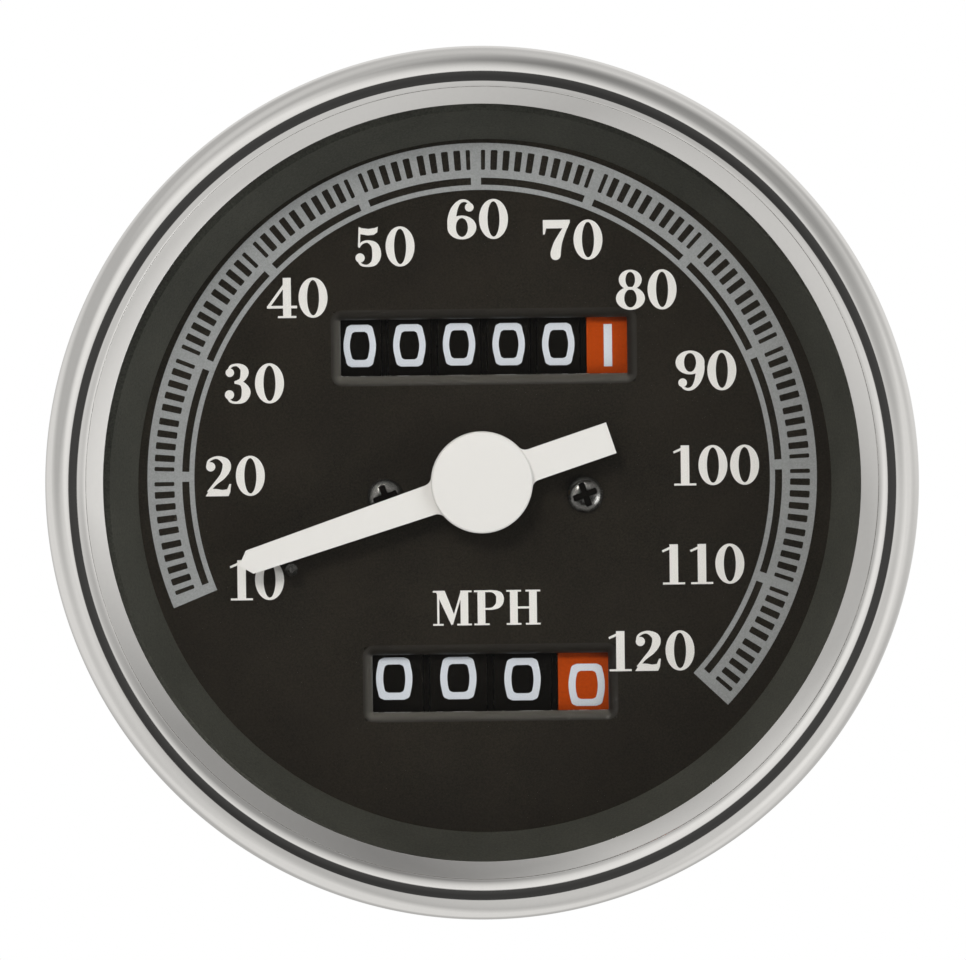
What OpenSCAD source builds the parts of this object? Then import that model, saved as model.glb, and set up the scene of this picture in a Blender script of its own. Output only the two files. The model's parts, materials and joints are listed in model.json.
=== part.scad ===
// Round magnetic speedometer with mileage and trip counters.
// Every piece is drawn in instrument coordinates: x to the right and y up as seen on the dial, z from the
// case back towards the glass. stand() turns them upright, so that the dial faces -Y and 12 o'clock is +Z.
// The origin is midway between the mounting studs, on the plane of their shoulders, where a bracket sits.

/* [Case and bezel] */
// Outer radius of the drawn case
case_r = 40; // [39:0.5:42]
// Sheet thickness of the case
case_wall = 0.8; // [0.6:0.1:1]
// Outer corner radius at the back of the case
case_corner = 5; // [3:0.5:8]
// Width of the rim that the bezel grips
rim_w = 1.4; // [1:0.1:2]
// Thickness of that rim
rim_t = 1.3; // [1:0.1:1.8]
// Wall of the bezel outside the rim
bezel_wall = 1.5; // [1.2:0.1:2]
// Height of the bezel crest above the glass
bezel_crest = 3.5; // [2.8:0.1:4.5]
// Width that the bezel lip covers, from the rim inwards
bezel_cover = 4.2; // [3.5:0.1:5]
// Thickness of the edge rolled under the rim
bezel_roll = 1.2; // [0.8:0.1:1.6]

/* [Glass stack] */
// Thickness of the glass
lens_t = 2.5; // [1.5:0.1:3]
// Thickness of the gasket under the glass
gasket_t = 1; // [0.6:0.1:1.5]
// Width of the gasket
gasket_w = 3.4; // [2:0.1:3.6]
// Sheet thickness of the trim ring
trim_t = 0.8; // [0.5:0.1:1]
// Height of the trim ring from the dial to the case rim
trim_h = 5.2; // [4.8:0.1:7]
// Inner radius of the trim ring where it meets the dial
trim_r = 34.2; // [33.4:0.1:34.6]

/* [Dial] */
// Height of the dial's back above the case back
dial_z = 43; // [43:0.5:48]
// Thickness of the dial
dial_t = 1; // [0.8:0.1:1.4]
// Gap between the dial and the case
dial_gap = 1.2; // [0.8:0.1:1.6]
// Radius of the hole round the pointer spindle
dial_bore_r = 2; // [1.8:0.1:2.6]
// Distance between the dial screws
dial_screw_pitch = 19.7; // [19.2:0.1:20]
// Offset of the screw pair to the right
dial_screw_shift = 0.35; // [0.2:0.05:0.4]
// Drop of the screw pair below the pointer axis
dial_screw_drop = 1.35; // [1:0.05:1.6]
// Radius of a dial screw's head
dial_screw_head_r = 1.8; // [1.6:0.1:2]
// Radius of a dial screw's shank
dial_screw_r = 1; // [0.8:0.1:1.2]
// Slope of the pressed edge round a counter window
window_bevel = 0.8; // [0.4:0.1:1]

/* [Pointer] */
// Angle of the resting pointer, counter-clockwise from 3 o'clock
pointer_rest = 198.3; // [194:0.1:202]
// Length from the axis to the tip
pointer_len = 25.3; // [22:0.1:27]
// Length of the squared tail
tail_len = 13.5; // [9:0.1:16]
// Width of the blade at the hub
blade_w = 3.2; // [2.4:0.1:4]
// Width of the blade at the shoulders of the tip
tip_w = 2.4; // [1.6:0.1:3]
// Length of the pointed tip
tip_len = 1.1; // [0.8:0.1:2]
// Thickness of the blade
blade_t = 0.7; // [0.5:0.1:1]
// Radius of the hub cap
hub_r = 5.03; // [4:0.01:6]
// Height of the hub cap
hub_h = 2; // [1.6:0.1:2.2]
// Height of the hub cap above the dial
hub_lift = 2.8; // [2.4:0.1:3]
// Radius of the pointer spindle
spindle_r = 0.75; // [0.6:0.05:0.9]
// Radius of the stop pin
stop_r = 0.6; // [0.4:0.05:0.8]
// Distance of the stop pin from the axis
stop_reach = 20.65; // [18:0.05:22]
// Gap between the stop pin and the resting blade
stop_gap = 0.2; // [0.1:0.05:0.4]

/* [Mileage counter] */
// Height of the mileage wheels' axis above the pointer axis
odo_y = 13.35; // [13.2:0.05:14]
// Offset of the mileage row to the right
odo_x = 0.4; // [0.2:0.1:0.5]
// Spacing of the mileage wheels
odo_pitch = 4.9; // [4.7:0.05:5]
// Height of the mileage window
odo_window_h = 5.6; // [5:0.1:6.4]
// Width of the mileage window
odo_window_w = 28.3; // [27:0.1:29]

/* [Trip counter] */
// Drop of the trip wheels' axis below the pointer axis
trip_y = 19.8; // [19.6:0.05:20.4]
// Offset of the trip row to the right
trip_x = 0.65; // [0.4:0.05:0.8]
// Spacing of the trip wheels
trip_pitch = 6.33; // [6.1:0.01:6.6]
// Height of the trip window
trip_window_h = 5.7; // [5:0.1:6.4]
// Width of the trip window
trip_window_w = 23.3; // [22:0.1:24]

/* [Number wheels] */
// Outer radius of a number wheel
wheel_r = 9; // [8.6:0.1:9.2]
// Wall of a wheel's rim, down to the roots of its inner teeth
wheel_rim = 1.2; // [1:0.1:1.4]
// Thickness of a wheel's web
web_t = 1; // [0.8:0.1:1.2]
// Radius of a wheel's hub
wheel_hub_r = 1.9; // [1.8:0.05:2]
// Radius of the counter shafts
counter_shaft_r = 1.2; // [1:0.05:1.4]
// Thickness of a carrier plate between two wheels
carrier_t = 0.5; // [0.4:0.05:0.6]
// Gap between the wheels and the dial's back
wheel_gap = 0.6; // [0.5:0.05:1]
// Radius of the rods that steady the carrier plates
carrier_rod_r = 1.1; // [0.9:0.05:1.3]

/* [Drive] */
// Thread radius of the drive gland
gland_r = 6; // [5.5:0.1:6.5]
// Length of the gland behind the case
gland_len = 15; // [13:0.5:18]
// Radius of the cable socket in the gland
socket_r = 4.2; // [4:0.05:4.6]
// Depth of the cable socket
socket_depth = 6; // [5:0.5:8]
// Radius of the drive shaft
drive_r = 2.5; // [2.3:0.05:2.6]
// Width of the square that takes the cable end
square_w = 2.7; // [2.4:0.1:2.8]
// Wall of the bronze drive bush
bush_wall = 1; // [0.8:0.1:1.2]
// Radius of the magnet
magnet_r = 8.8; // [8:0.1:9.2]
// Height of the magnet
magnet_h = 4.5; // [4:0.1:5]
// Air gap on each side of the speed cup
air_gap = 0.6; // [0.5:0.05:0.8]
// Wall of the speed cup
cup_wall = 0.4; // [0.3:0.05:0.6]
// Wall of the field ring
field_wall = 1.4; // [1:0.1:1.6]

/* [Rear fittings] */
// Distance between the mounting studs
stud_pitch = 58; // [56:0.5:60]
// Thread radius of the mounting studs
stud_r = 2.5; // [2:0.1:3]
// Radius of the stud's shoulder, where it passes the case and its nut
shoulder_r = 3; // [2.7:0.1:3.4]
// Length of the studs behind the case
stud_len = 16; // [12:0.5:20]
// Width of the stud nuts across the flats
nut_af = 10; // [9:0.1:11]
// Thickness of the stud nuts
nut_t = 4; // [3:0.1:5]
// Distance of a lamp holder from the middle, sideways
lamp_x = 26; // [25.5:0.1:26.5]
// Height of the lamp holders above the middle
lamp_y = 15; // [14.5:0.1:15.5]
// Radius of a lamp holder's neck
lamp_r = 5; // [4.6:0.1:5.4]
// Radius of a bulb
bulb_r = 3.6; // [3:0.1:4]
// Radius of the reset knob
knob_r = 7; // [6:0.1:8]
// Length of the reset knob
knob_len = 12; // [10:0.5:16]
// Radius of the reset stem
stem_r = 2; // [1.8:0.05:2.2]

/* [Clearances] */
// Radial clearance of a running fit
run_fit = 0.05; // [0.03:0.01:0.08]
// Gap between faces that pass each other
face_gap = 0.3; // [0.25:0.05:0.4]

// Radial gap of pieces that are pressed or dropped into a seat
seat_fit = 0.05; // [0.02:0.01:0.1]

/* [Hidden] */
$fn = 96;
odo_wheels = 6;
trip_wheels = 4;

// Levels of the glass stack, from the dial to the top of the glass
dial_face = dial_z + dial_t;
rim_z = dial_face + trim_h;
trim_top = rim_z + trim_t;
lens_z = trim_top + gasket_t;
lens_top = lens_z + lens_t;
case_in = case_r - case_wall;
rim_r = case_r + rim_w;
bezel_in = rim_r + 2 * seat_fit;
bezel_r = bezel_in + bezel_wall;
lip_r = bezel_in - bezel_cover;
lens_r = rim_r - 2 * seat_fit;
dial_r = case_in - dial_gap;
trim_shadow = 0.3;
trim_top_r = lip_r - trim_shadow;

// Levels of the pointer
hub_z = dial_face + hub_lift;
blade_drop = 0.2;
blade_z = hub_z + blade_drop;
spindle_top = hub_z + hub_h * 0.6;
shoulder = pointer_len - tip_len;
stop_half_w = (blade_w + (tip_w - blade_w) * stop_reach / shoulder) / 2;
stop_angle = pointer_rest + asin((stop_half_w + stop_gap + stop_r) / stop_reach);
bush_r = dial_bore_r - 2 * seat_fit - face_gap;

// Counter rows
side_gap = 0.1;
wheel_z = dial_z - wheel_gap - wheel_r;
odo_wheel_w = odo_pitch - carrier_t - 2 * side_gap;
trip_wheel_w = trip_pitch - carrier_t - 2 * side_gap;
rod_gap = 0.7;
rod_reach = wheel_r + carrier_rod_r + rod_gap;
odo_rod_y = odo_y + rod_reach;
trip_rod_y = -trip_y - rod_reach;
cavity_r = wheel_r - wheel_rim;
carry_m = cavity_r / 11;
ring_teeth = 20;
pinion_teeth = 6;
carry_reach = (ring_teeth - pinion_teeth) * carry_m / 2;
carry_add = 0.75;
carry_tip = (pinion_teeth / 2 + carry_add) * carry_m;
carry_depth = 1.2;
sleeve_wall = 1.2;
sleeve_r = counter_shaft_r + run_fit + sleeve_wall;

// Side cheeks of the mechanism frame
cheek_t = 1.6;
cheek_gap = 0.5;
cheek_right = odo_x + odo_pitch * odo_wheels / 2 + cheek_gap;
cheek_left = odo_x - odo_pitch * odo_wheels / 2 - cheek_gap;
cheek_rise = 4.5;
cheek_top = wheel_z + cheek_rise;
cheek_foot = 4;
flare_drop = 6.5;
neck_drop = 14;
notch_top = 5;
notch_foot = 8;
notch_lift = 3;
ear_wall = 1.2;
base_gap = 1.2;
base_z = case_wall + base_gap;
base_t = 2;
base_top = base_z + base_t;

// Worm train: 14 x 16 x 20 / 2 = 2240 turns of the drive for one turn of the last wheel
tooth_m = 0.5;
first_teeth = 14;
second_teeth = 16;
third_teeth = 20;
spur_teeth = 24;
idler_teeth = 48;
gear_shaft_r = 1.25;
gear_w = 1.6;
first_r = first_teeth * tooth_m / 2;
second_r = second_teeth * tooth_m / 2;
worm1_r = drive_r;
worm2_r = 2;
worm3_r = 2.3;
shaft1_y = -worm1_r - first_r;
shaft1_z = base_top + first_r + 3 * tooth_m;
shaft2_y = shaft1_y - worm2_r - second_r;
idler_y = (odo_y - trip_y) / 2;
idler_drop = 5.4;
idler_z = wheel_z - idler_drop;
spur_d = norm([odo_y - idler_y, idler_drop]);
spur_r = spur_d * spur_teeth / (spur_teeth + idler_teeth);
idler_r = spur_d - spur_r;
third_r = idler_y - shaft2_y - worm3_r;
third_m = 2 * third_r / third_teeth;
addendum = 0.8;
worm3_tip = worm3_r + addendum * third_m;
spur_x = cheek_right + cheek_t + 2 * face_gap;
spur_w = 1.5;
third_x = spur_x + spur_w + face_gap + worm3_tip;
worm_len = 6;
worm3_len = 8;
lug_gap = 1;
lug_z = idler_z + worm3_len / 2 + lug_gap;
lug_t = 1.6;
end_lug_x = -4;
idler_angle = atan2(idler_drop, odo_y - idler_y);
idler_pin_r = 1.5;

// Magnet, cup and field ring
magnet_z = shaft1_z + first_r + 3.4 * tooth_m;
cup_in = magnet_r + air_gap;
cup_r = cup_in + cup_wall;
cup_top = magnet_z + magnet_h + air_gap + cup_wall;
field_in = cup_r + air_gap;
field_r = field_in + field_wall;
field_drop = 0.2;
field_z = magnet_z - field_drop;
field_top = cup_top + air_gap;
magnet_seat_r = 2;
cup_hub_r = 2;
cup_hub_h = 1.6;
pivot_r = 0.5;
pivot_depth = 1.8;
drive_top = magnet_z + magnet_h;
spring_lift = 1.2;
spring_z = cup_top + cup_hub_h + spring_lift;
spring_h = 0.8;
spring_in = 1.9;
spring_out = 5.4;
spring_turns = 4;
spring_t = 0.2;
collet_r = spring_in - spring_t;
bridge_lift = 3.1;
bridge_z = spring_z + spring_h + bridge_lift;
bridge_t = 2;
bridge_top = bridge_z + bridge_t;
bridge_y0 = -7;
bridge_y1 = 4;
ledge_w = 4;
bridge_screw_y = -4.6;
bridge_screw_r = 1;
bridge_head_r = 1.8;
bridge_head_h = 1.2;
bridge_screw_inset = 2.2;
bridge_screw_x = [cheek_left + bridge_screw_inset, cheek_right - bridge_screw_inset];
bridge_bush_r = 1.8;
bridge_bush_rise = 1;
ledge_t = 2;

// Drive gland and shaft
gland_flange_w = 3;
gland_flange_r = gland_r + gland_flange_w;
gland_flange_t = 2.5;
drive_bush_r = drive_r + bush_wall;
spigot_wall = 1.5;
spigot_r = drive_bush_r + spigot_wall;
drive_end = -gland_len + socket_depth + face_gap;
square_depth = 6;

// Reset crown gear, its stem and the pinion on the trip shaft
reset_teeth = 12;
crown_teeth = 15;
reset_r = reset_teeth * tooth_m / 2;
crown_r = crown_teeth * tooth_m / 2;
crown_edge = 0.95;
reset_x = cheek_left - cheek_t - 2 * face_gap - gear_w / 2;
stem_x = reset_x - crown_r;
crown_pitch_z = wheel_z - reset_r;
crown_root = 0.7;
crown_tip = 0.2;
crown_z = crown_pitch_z - crown_root;
stem_lug_drop = 8;
stem_lug_z = crown_z - stem_lug_drop;
knob_gap = 1.5;

dial_screw_x = [-dial_screw_pitch / 2 + dial_screw_shift, dial_screw_pitch / 2 + dial_screw_shift];
dial_screw_head_h = 1;
dial_screw_bite = 4;
dial_tap_depth = dial_screw_bite + 1;
dial_post_wall = 1;
dial_post_r = dial_screw_r + dial_post_wall;
frame_screw_r = 2;
frame_head_h = 2;
frame_screws_at = [[-8, 12], [8, -18]];
stud_head_w = 1.5;
stud_head_r = shoulder_r + stud_head_w;
stud_head_t = 2;
stud_edge = 0.5;
shoulder_len = nut_t + face_gap;
lamp_cap_h = 8;
lamp_neck_h = 9;

// Turns the instrument upright, with the plane of the stud shoulders at the origin
module stand() {
    rotate([90, 0, 0]) translate([0, 0, shoulder_len]) children();
}

// Moves a piece that was drawn on a vertical axis onto an axis along x through (y, z)
module across(x, y, z) {
    translate([x, y, z]) rotate([90, 0, 90]) children();
}

// Points of an arc, from angle a to angle b
function arc(c, r, a, b, n = 12) =
    [for (i = [0 : n]) let (t = a + (b - a) * i / n) c + r * [cos(t), sin(t)]];

// Outline of a gear with a tooth on the x axis; thick is the tooth's share of the pitch
function gear_points(teeth, r, m, thick, add = addendum, ded = 1.1) =
    let (step = 360 / teeth, half = step * thick / 2)
    [for (i = [0 : teeth - 1], k = [[-1.5, -ded], [-0.5, add], [0.5, add], [1.5, -ded]])
        (r + k[1] * m) * [cos(i * step + k[0] * half), sin(i * step + k[0] * half)]];

module gear(teeth, r, m, w, thick = 0.36, add = addendum) {
    linear_extrude(w) polygon(gear_points(teeth, r, m, thick, add));
}

// One-start worm along z, with a ridge that points along x at mid length
module worm(len, r, m) {
    lead = PI * m;
    sides = 20;
    function ridge(a) = let (off = abs(a) / 360 * 2) r + m * max(-1, min(addendum, (0.3 - off) * 8));
    rotate(-180 * len / lead)
        linear_extrude(len, twist = -360 * len / lead, slices = ceil(len / lead * 10), $fn = sides)
            polygon([for (i = [0 : sides - 1]) let (a = i * 360 / sides - 180) ridge(a) * [cos(a), sin(a)]]);
}

module ring(r_out, r_in, h) {
    difference() {
        cylinder(r = r_out, h = h);
        translate([0, 0, -1]) cylinder(r = r_in, h = h + 2);
    }
}

// Pan head with a cross recess, seated on z = 0, with its shank below
module cross_screw(head_r, head_h, shank_r, shank_len) {
    slot = head_r * 0.3;
    translate([0, 0, -shank_len]) cylinder(r = shank_r, h = shank_len);
    difference() {
        rotate_extrude() polygon(concat([[0, 0], [head_r, 0]],
            arc([head_r - head_h * 0.6, head_h * 0.4], head_h * 0.6, 0, 90, 6), [[0, head_h]]));
        for (a = [0, 90]) rotate(a)
            translate([-head_r * 0.65, -slot / 2, head_h * 0.45]) cube([head_r * 1.3, slot, head_h]);
    }
}

// Case, bezel and glass

module rear_case() {
    inner_corner = case_corner - case_wall;
    color([0.06, 0.06, 0.07]) stand() difference() {
        rotate_extrude() polygon(concat(
            [[0, 0]],
            arc([case_r - case_corner, case_corner], case_corner, -90, 0),
            [[case_r, rim_z - rim_t], [rim_r, rim_z - rim_t], [rim_r, rim_z], [case_in, rim_z]],
            arc([case_in - inner_corner, case_wall + inner_corner], inner_corner, 0, -90),
            [[0, case_wall]]));
        case_hole(0, 0, spigot_r + seat_fit);
        case_hole(stem_x, -trip_y, stem_r + run_fit);
        for (s = [-1, 1]) {
            case_hole(s * stud_pitch / 2, 0, shoulder_r + seat_fit);
            case_hole(s * lamp_x, lamp_y, lamp_r + seat_fit);
        }
        for (p = frame_screws_at) case_hole(p.x, p.y, frame_screw_r + seat_fit);
    }
}

module case_hole(x, y, r) {
    translate([x, y, -1]) cylinder(r = r, h = case_wall + 2);
}

// Spun ring: a lip slopes down onto the glass, a crease parts it from the rounded crest
module bezel() {
    crest = lens_top + bezel_crest;
    crest_r = 1.6;
    crease_r = bezel_r - 2.9;
    crease_z = lens_top + bezel_crest * 0.63;
    shelf_r = bezel_r - 4.1;
    shelf_z = lens_top + bezel_crest * 0.55;
    lip_edge = 0.4;
    step_w = 0.1;
    step_h = 0.15;
    fold_r = bezel_roll * 0.7;
    roll_z = rim_z - rim_t;
    color([0.8, 0.8, 0.82]) stand() rotate_extrude() polygon(concat(
        [[lip_r, lens_top], [lip_r, lens_top + lip_edge]],
        [[shelf_r - step_w, shelf_z - step_h], [shelf_r, shelf_z], [crease_r, crease_z]],
        arc([bezel_r - crest_r, crest - crest_r], crest_r, 150, 0, 14),
        arc([bezel_r - fold_r, roll_z - bezel_roll + fold_r], fold_r, 0, -90, 8),
        [[case_r + face_gap, roll_z - bezel_roll], [case_r + face_gap, roll_z], [bezel_in, roll_z]],
        [[bezel_in, lens_top]]));
}

module lens() {
    edge = 0.3;
    color([0.85, 0.9, 0.9, 0.25]) stand() rotate_extrude() polygon(
        [[0, lens_z], [lens_r, lens_z], [lens_r, lens_top - edge], [lens_r - edge, lens_top], [0, lens_top]]);
}

module lens_gasket() {
    color([0.05, 0.05, 0.05]) stand() translate([0, 0, trim_top]) ring(lens_r, lens_r - gasket_w, gasket_t);
}

// Sheet cone between the dial and the case rim, with a flange under the gasket
module trim_ring() {
    color([0.25, 0.27, 0.25]) stand() rotate_extrude() polygon(
        [[trim_r, dial_face], [trim_r + trim_t, dial_face], [trim_top_r + trim_t, rim_z], [rim_r, rim_z],
        [rim_r, trim_top], [trim_top_r, trim_top]]);
}

// Dial and its fixings

// Window with pressed sloping edges, wider at the front
module window(x, y, w, h) {
    half = [w / 2, h / 2];
    module slope(k, len) {
        translate([0, 0, -len / 2]) linear_extrude(len) polygon(
            [[-half[k], dial_z - 1], [half[k], dial_z - 1], [half[k], dial_z],
            [half[k] + window_bevel, dial_face], [half[k] + window_bevel, dial_face + 1],
            [-half[k] - window_bevel, dial_face + 1], [-half[k] - window_bevel, dial_face],
            [-half[k], dial_z]]);
    }
    translate([x, y, 0]) intersection() {
        rotate([90, 0, 0]) slope(0, 2 * h);
        rotate([90, 0, 90]) slope(1, 2 * w);
    }
}

module dial() {
    color([0.1, 0.1, 0.1]) stand() difference() {
        translate([0, 0, dial_z]) cylinder(r = dial_r, h = dial_t);
        translate([0, 0, dial_z - 1]) cylinder(r = dial_bore_r, h = dial_t + 2);
        window(odo_x, odo_y, odo_window_w, odo_window_h);
        window(trip_x, -trip_y, trip_window_w, trip_window_h);
        for (x = dial_screw_x) translate([x, -dial_screw_drop, dial_z - 1])
            cylinder(r = dial_screw_r + seat_fit, h = dial_t + 2);
        rotate(stop_angle) translate([stop_reach, 0, dial_z - 1])
            cylinder(r = stop_r + seat_fit, h = dial_t + 2);
    }
}

module dial_screws() {
    color([0.08, 0.08, 0.08]) stand() for (x = dial_screw_x) translate([x, -dial_screw_drop, dial_face])
        cross_screw(dial_screw_head_r, dial_screw_head_h, dial_screw_r, dial_t + dial_screw_bite);
}

module stop_pin() {
    pin_h = dial_t + hub_lift + blade_drop + blade_t + face_gap;
    color([0.08, 0.08, 0.08]) stand() rotate(stop_angle) translate([stop_reach, 0, dial_z])
        rotate_extrude() polygon(
            [[0, 0], [stop_r, 0], [stop_r, pin_h - stop_r / 2], [stop_r / 2, pin_h], [0, pin_h]]);
}

// Pointer and what turns with it

module pointer() {
    edge = 0.7;
    fillet = 2.2;
    root_x = sqrt(pow(hub_r + fillet, 2) - pow(blade_w / 2 + fillet, 2));
    web_x = root_x * hub_r / (hub_r + fillet);
    color([0.93, 0.92, 0.9]) stand() rotate(pointer_rest) {
        difference() {
            translate([0, 0, hub_z]) rotate_extrude() polygon(concat(
                [[0, 0], [hub_r, 0]], arc([hub_r - edge, hub_h - edge], edge, 0, 90, 8), [[0, hub_h]]));
            translate([0, 0, hub_z - 1]) cylinder(r = spindle_r, h = spindle_top - hub_z + 1);
        }
        translate([0, 0, blade_z]) linear_extrude(blade_t) difference() {
            union() {
                polygon([[pointer_len, 0], [shoulder, tip_w / 2], [0, blade_w / 2], [-tail_len, blade_w / 2],
                    [-tail_len, -blade_w / 2], [0, -blade_w / 2], [shoulder, -tip_w / 2]]);
                square([2 * root_x, 2 * (blade_w / 2 + fillet * 0.45)], center = true);
            }
            circle(r = hub_r - edge);
            for (sx = [-1, 1], sy = [-1, 1])
                translate([sx * root_x, sy * (blade_w / 2 + fillet)]) circle(r = fillet);
        }
    }
}

module pointer_bush() {
    rise = 0.8;
    color([0.7, 0.55, 0.3]) stand() translate([0, 0, dial_face + rise])
        ring(bush_r, spindle_r, hub_lift - rise);
}

module pointer_spindle() {
    pivot_z = drive_top - pivot_depth + face_gap;
    neck_z = drive_top + face_gap;
    color([0.6, 0.6, 0.62]) stand() {
        translate([0, 0, neck_z]) cylinder(r = spindle_r, h = spindle_top - neck_z);
        translate([0, 0, pivot_z]) cylinder(r = pivot_r, h = neck_z - pivot_z);
    }
}

module speed_cup() {
    skirt = cup_top - magnet_z - face_gap;
    color([0.75, 0.76, 0.78]) stand() difference() {
        union() {
            translate([0, 0, cup_top - skirt]) cylinder(r = cup_r, h = skirt);
            translate([0, 0, cup_top]) cylinder(r = cup_hub_r, h = cup_hub_h);
        }
        translate([0, 0, cup_top - skirt - 1]) cylinder(r = cup_in, h = skirt - cup_wall + 1);
        cylinder(r = spindle_r, h = cup_top + cup_hub_h + 1);
    }
}

module hairspring_collet() {
    color([0.7, 0.55, 0.3]) stand() translate([0, 0, spring_z - face_gap])
        ring(collet_r, spindle_r, spring_h + 2 * face_gap);
}

// Flat spiral from the collet out to the stud
module hairspring() {
    steps = 24 * spring_turns;
    grow = (spring_out - spring_in) / steps;
    function turn(i, off) = (spring_in + grow * i + off) * [cos(i * 360 / 24), sin(i * 360 / 24)];
    color([0.72, 0.7, 0.6]) stand() translate([0, 0, spring_z]) linear_extrude(spring_h) polygon(concat(
        [for (i = [0 : steps]) turn(i, -spring_t / 2)], [for (i = [steps : -1 : 0]) turn(i, spring_t / 2)]));
}

module hairspring_stud() {
    stud_pin_r = 0.6;
    stud_pin_x = spring_out + spring_t / 2 + stud_pin_r;
    color([0.7, 0.55, 0.3]) stand() translate([stud_pin_x, 0, spring_z - face_gap])
        cylinder(r = stud_pin_r, h = bridge_z - spring_z + face_gap);
}

// Bridge and mechanism frame

module bridge() {
    color([0.7, 0.7, 0.72]) stand() difference() {
        union() {
            translate([cheek_left, bridge_y0, bridge_z])
                cube([cheek_right - cheek_left, bridge_y1 - bridge_y0, bridge_t]);
            for (x = dial_screw_x) translate([x, -dial_screw_drop, bridge_z])
                cylinder(r = dial_post_r, h = dial_z - bridge_z);
        }
        for (x = dial_screw_x) translate([x, -dial_screw_drop, dial_z - dial_tap_depth])
            cylinder(r = dial_screw_r + seat_fit, h = dial_tap_depth + 1);
        for (x = bridge_screw_x) translate([x, bridge_screw_y, bridge_z - 1])
            cylinder(r = bridge_screw_r + seat_fit, h = bridge_t + 2);
        translate([0, 0, bridge_z - 1]) cylinder(r = bridge_bush_r + seat_fit, h = bridge_t + 2);
    }
}

module bridge_bush() {
    color([0.7, 0.55, 0.3]) stand() translate([0, 0, bridge_z])
        ring(bridge_bush_r, spindle_r + run_fit, bridge_t + bridge_bush_rise);
}

module bridge_screws() {
    color([0.6, 0.6, 0.62]) stand() for (x = bridge_screw_x) translate([x, bridge_screw_y, bridge_top])
        cross_screw(bridge_head_r, bridge_head_h, bridge_screw_r, bridge_t + ledge_t);
}

// Outline of a side cheek in y and z, with a notch over the bridge
module cheek_plate() {
    ear = rod_reach + carrier_rod_r + ear_wall;
    flare_z = wheel_z - flare_drop;
    neck_z = wheel_z - neck_drop;
    notch_z = idler_z + notch_lift;
    linear_extrude(cheek_t) polygon([
        [-trip_y - cheek_foot, base_z], [odo_y + cheek_foot, base_z], [odo_y + cheek_foot, neck_z],
        [odo_y + ear, flare_z], [odo_y + ear, cheek_top], [odo_y - notch_top, cheek_top],
        [odo_y - notch_foot, notch_z], [-trip_y + notch_foot, notch_z], [-trip_y + notch_top, cheek_top],
        [-trip_y - ear, cheek_top], [-trip_y - ear, flare_z], [-trip_y - cheek_foot, neck_z]]);
}

module bearing_hole(y, z, r) {
    across(cheek_left - cheek_t - 1, y, z)
        cylinder(r = r + run_fit, h = cheek_right - cheek_left + 2 * cheek_t + 2);
}

module mechanism_frame() {
    post_x = third_x + second_r + addendum * tooth_m + cheek_gap;
    post_t = 2;
    arm = 2.5;
    foot_w = 1.6 * arm;
    stem_lug_t = 2;
    base_left = cheek_left - cheek_t;
    base_right = cheek_right + cheek_t;
    base_y0 = -trip_y - cheek_foot;
    base_y1 = odo_y + cheek_foot;
    pillar_r = field_wall;
    stem_arm = 3;
    color([0.62, 0.62, 0.6]) stand() difference() {
        union() {
            translate([base_left, base_y0, base_z]) cube([base_right - base_left, base_y1 - base_y0, base_t]);
            for (p = frame_screws_at) translate([p.x, p.y, case_wall])
                cylinder(r = 2 * frame_screw_r, h = base_gap);
            across(base_left, 0, 0) cheek_plate();
            across(cheek_right, 0, 0) cheek_plate();
            // Ledges that carry the bridge
            for (x = [cheek_left, cheek_right - ledge_w]) translate([x, bridge_y0, bridge_z - ledge_t])
                cube([ledge_w, bridge_y1 - bridge_y0, ledge_t]);
            // Pillars under the field ring
            for (a = [60, 180, 300]) rotate(a) translate([(field_in + field_r) / 2, 0, base_z])
                cylinder(r = pillar_r, h = field_z - base_z);
            // End bearing of the first gear shaft
            translate([end_lug_x - cheek_t, shaft1_y - arm, base_z])
                cube([cheek_t, 2 * arm, shaft1_z + arm - base_z]);
            // Foot, post and top bearing of the second gear shaft
            translate([cheek_right, shaft2_y - foot_w, base_z])
                cube([post_x + post_t - cheek_right, 2 * foot_w, base_t]);
            translate([post_x, shaft2_y - arm, base_z]) cube([post_t, 2 * arm, lug_z + lug_t - base_z]);
            translate([third_x - arm, shaft2_y - arm, lug_z]) cube([post_x - third_x + arm, 2 * arm, lug_t]);
            // Arm that guides the reset stem
            translate([stem_x - stem_arm, -trip_y - stem_arm, stem_lug_z])
                cube([cheek_left - stem_x + stem_arm - cheek_t, 2 * stem_arm, stem_lug_t]);
        }
        translate([0, 0, base_z - 1]) cylinder(r = spigot_r + seat_fit, h = base_t + 2);
        for (p = frame_screws_at) translate([p.x, p.y, 0])
            cylinder(r = frame_screw_r + seat_fit, h = base_top + 1);
        bearing_hole(odo_y, wheel_z, counter_shaft_r);
        bearing_hole(-trip_y, wheel_z, counter_shaft_r);
        across(cheek_right - 1, -trip_y, wheel_z) cylinder(r = sleeve_r + run_fit, h = cheek_t + 2);
        for (y = [odo_rod_y, trip_rod_y]) across(base_left - 1, y, wheel_z)
            cylinder(r = carrier_rod_r + seat_fit, h = base_right - base_left + 2);
        across(end_lug_x - cheek_t - 1, shaft1_y, shaft1_z)
            cylinder(r = gear_shaft_r + run_fit, h = base_right - end_lug_x + cheek_t + 2);
        across(cheek_right - 1, idler_y, idler_z) cylinder(r = idler_pin_r + seat_fit, h = cheek_t + 2);
        translate([third_x, shaft2_y, base_z - 1]) cylinder(r = gear_shaft_r + run_fit, h = lug_z + lug_t);
        translate([stem_x, -trip_y, stem_lug_z - 1]) cylinder(r = stem_r + run_fit, h = stem_lug_t + 2);
        for (x = bridge_screw_x) translate([x, bridge_screw_y, bridge_z - ledge_t - 1])
            cylinder(r = bridge_screw_r + seat_fit, h = ledge_t + 2);
    }
}

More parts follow.
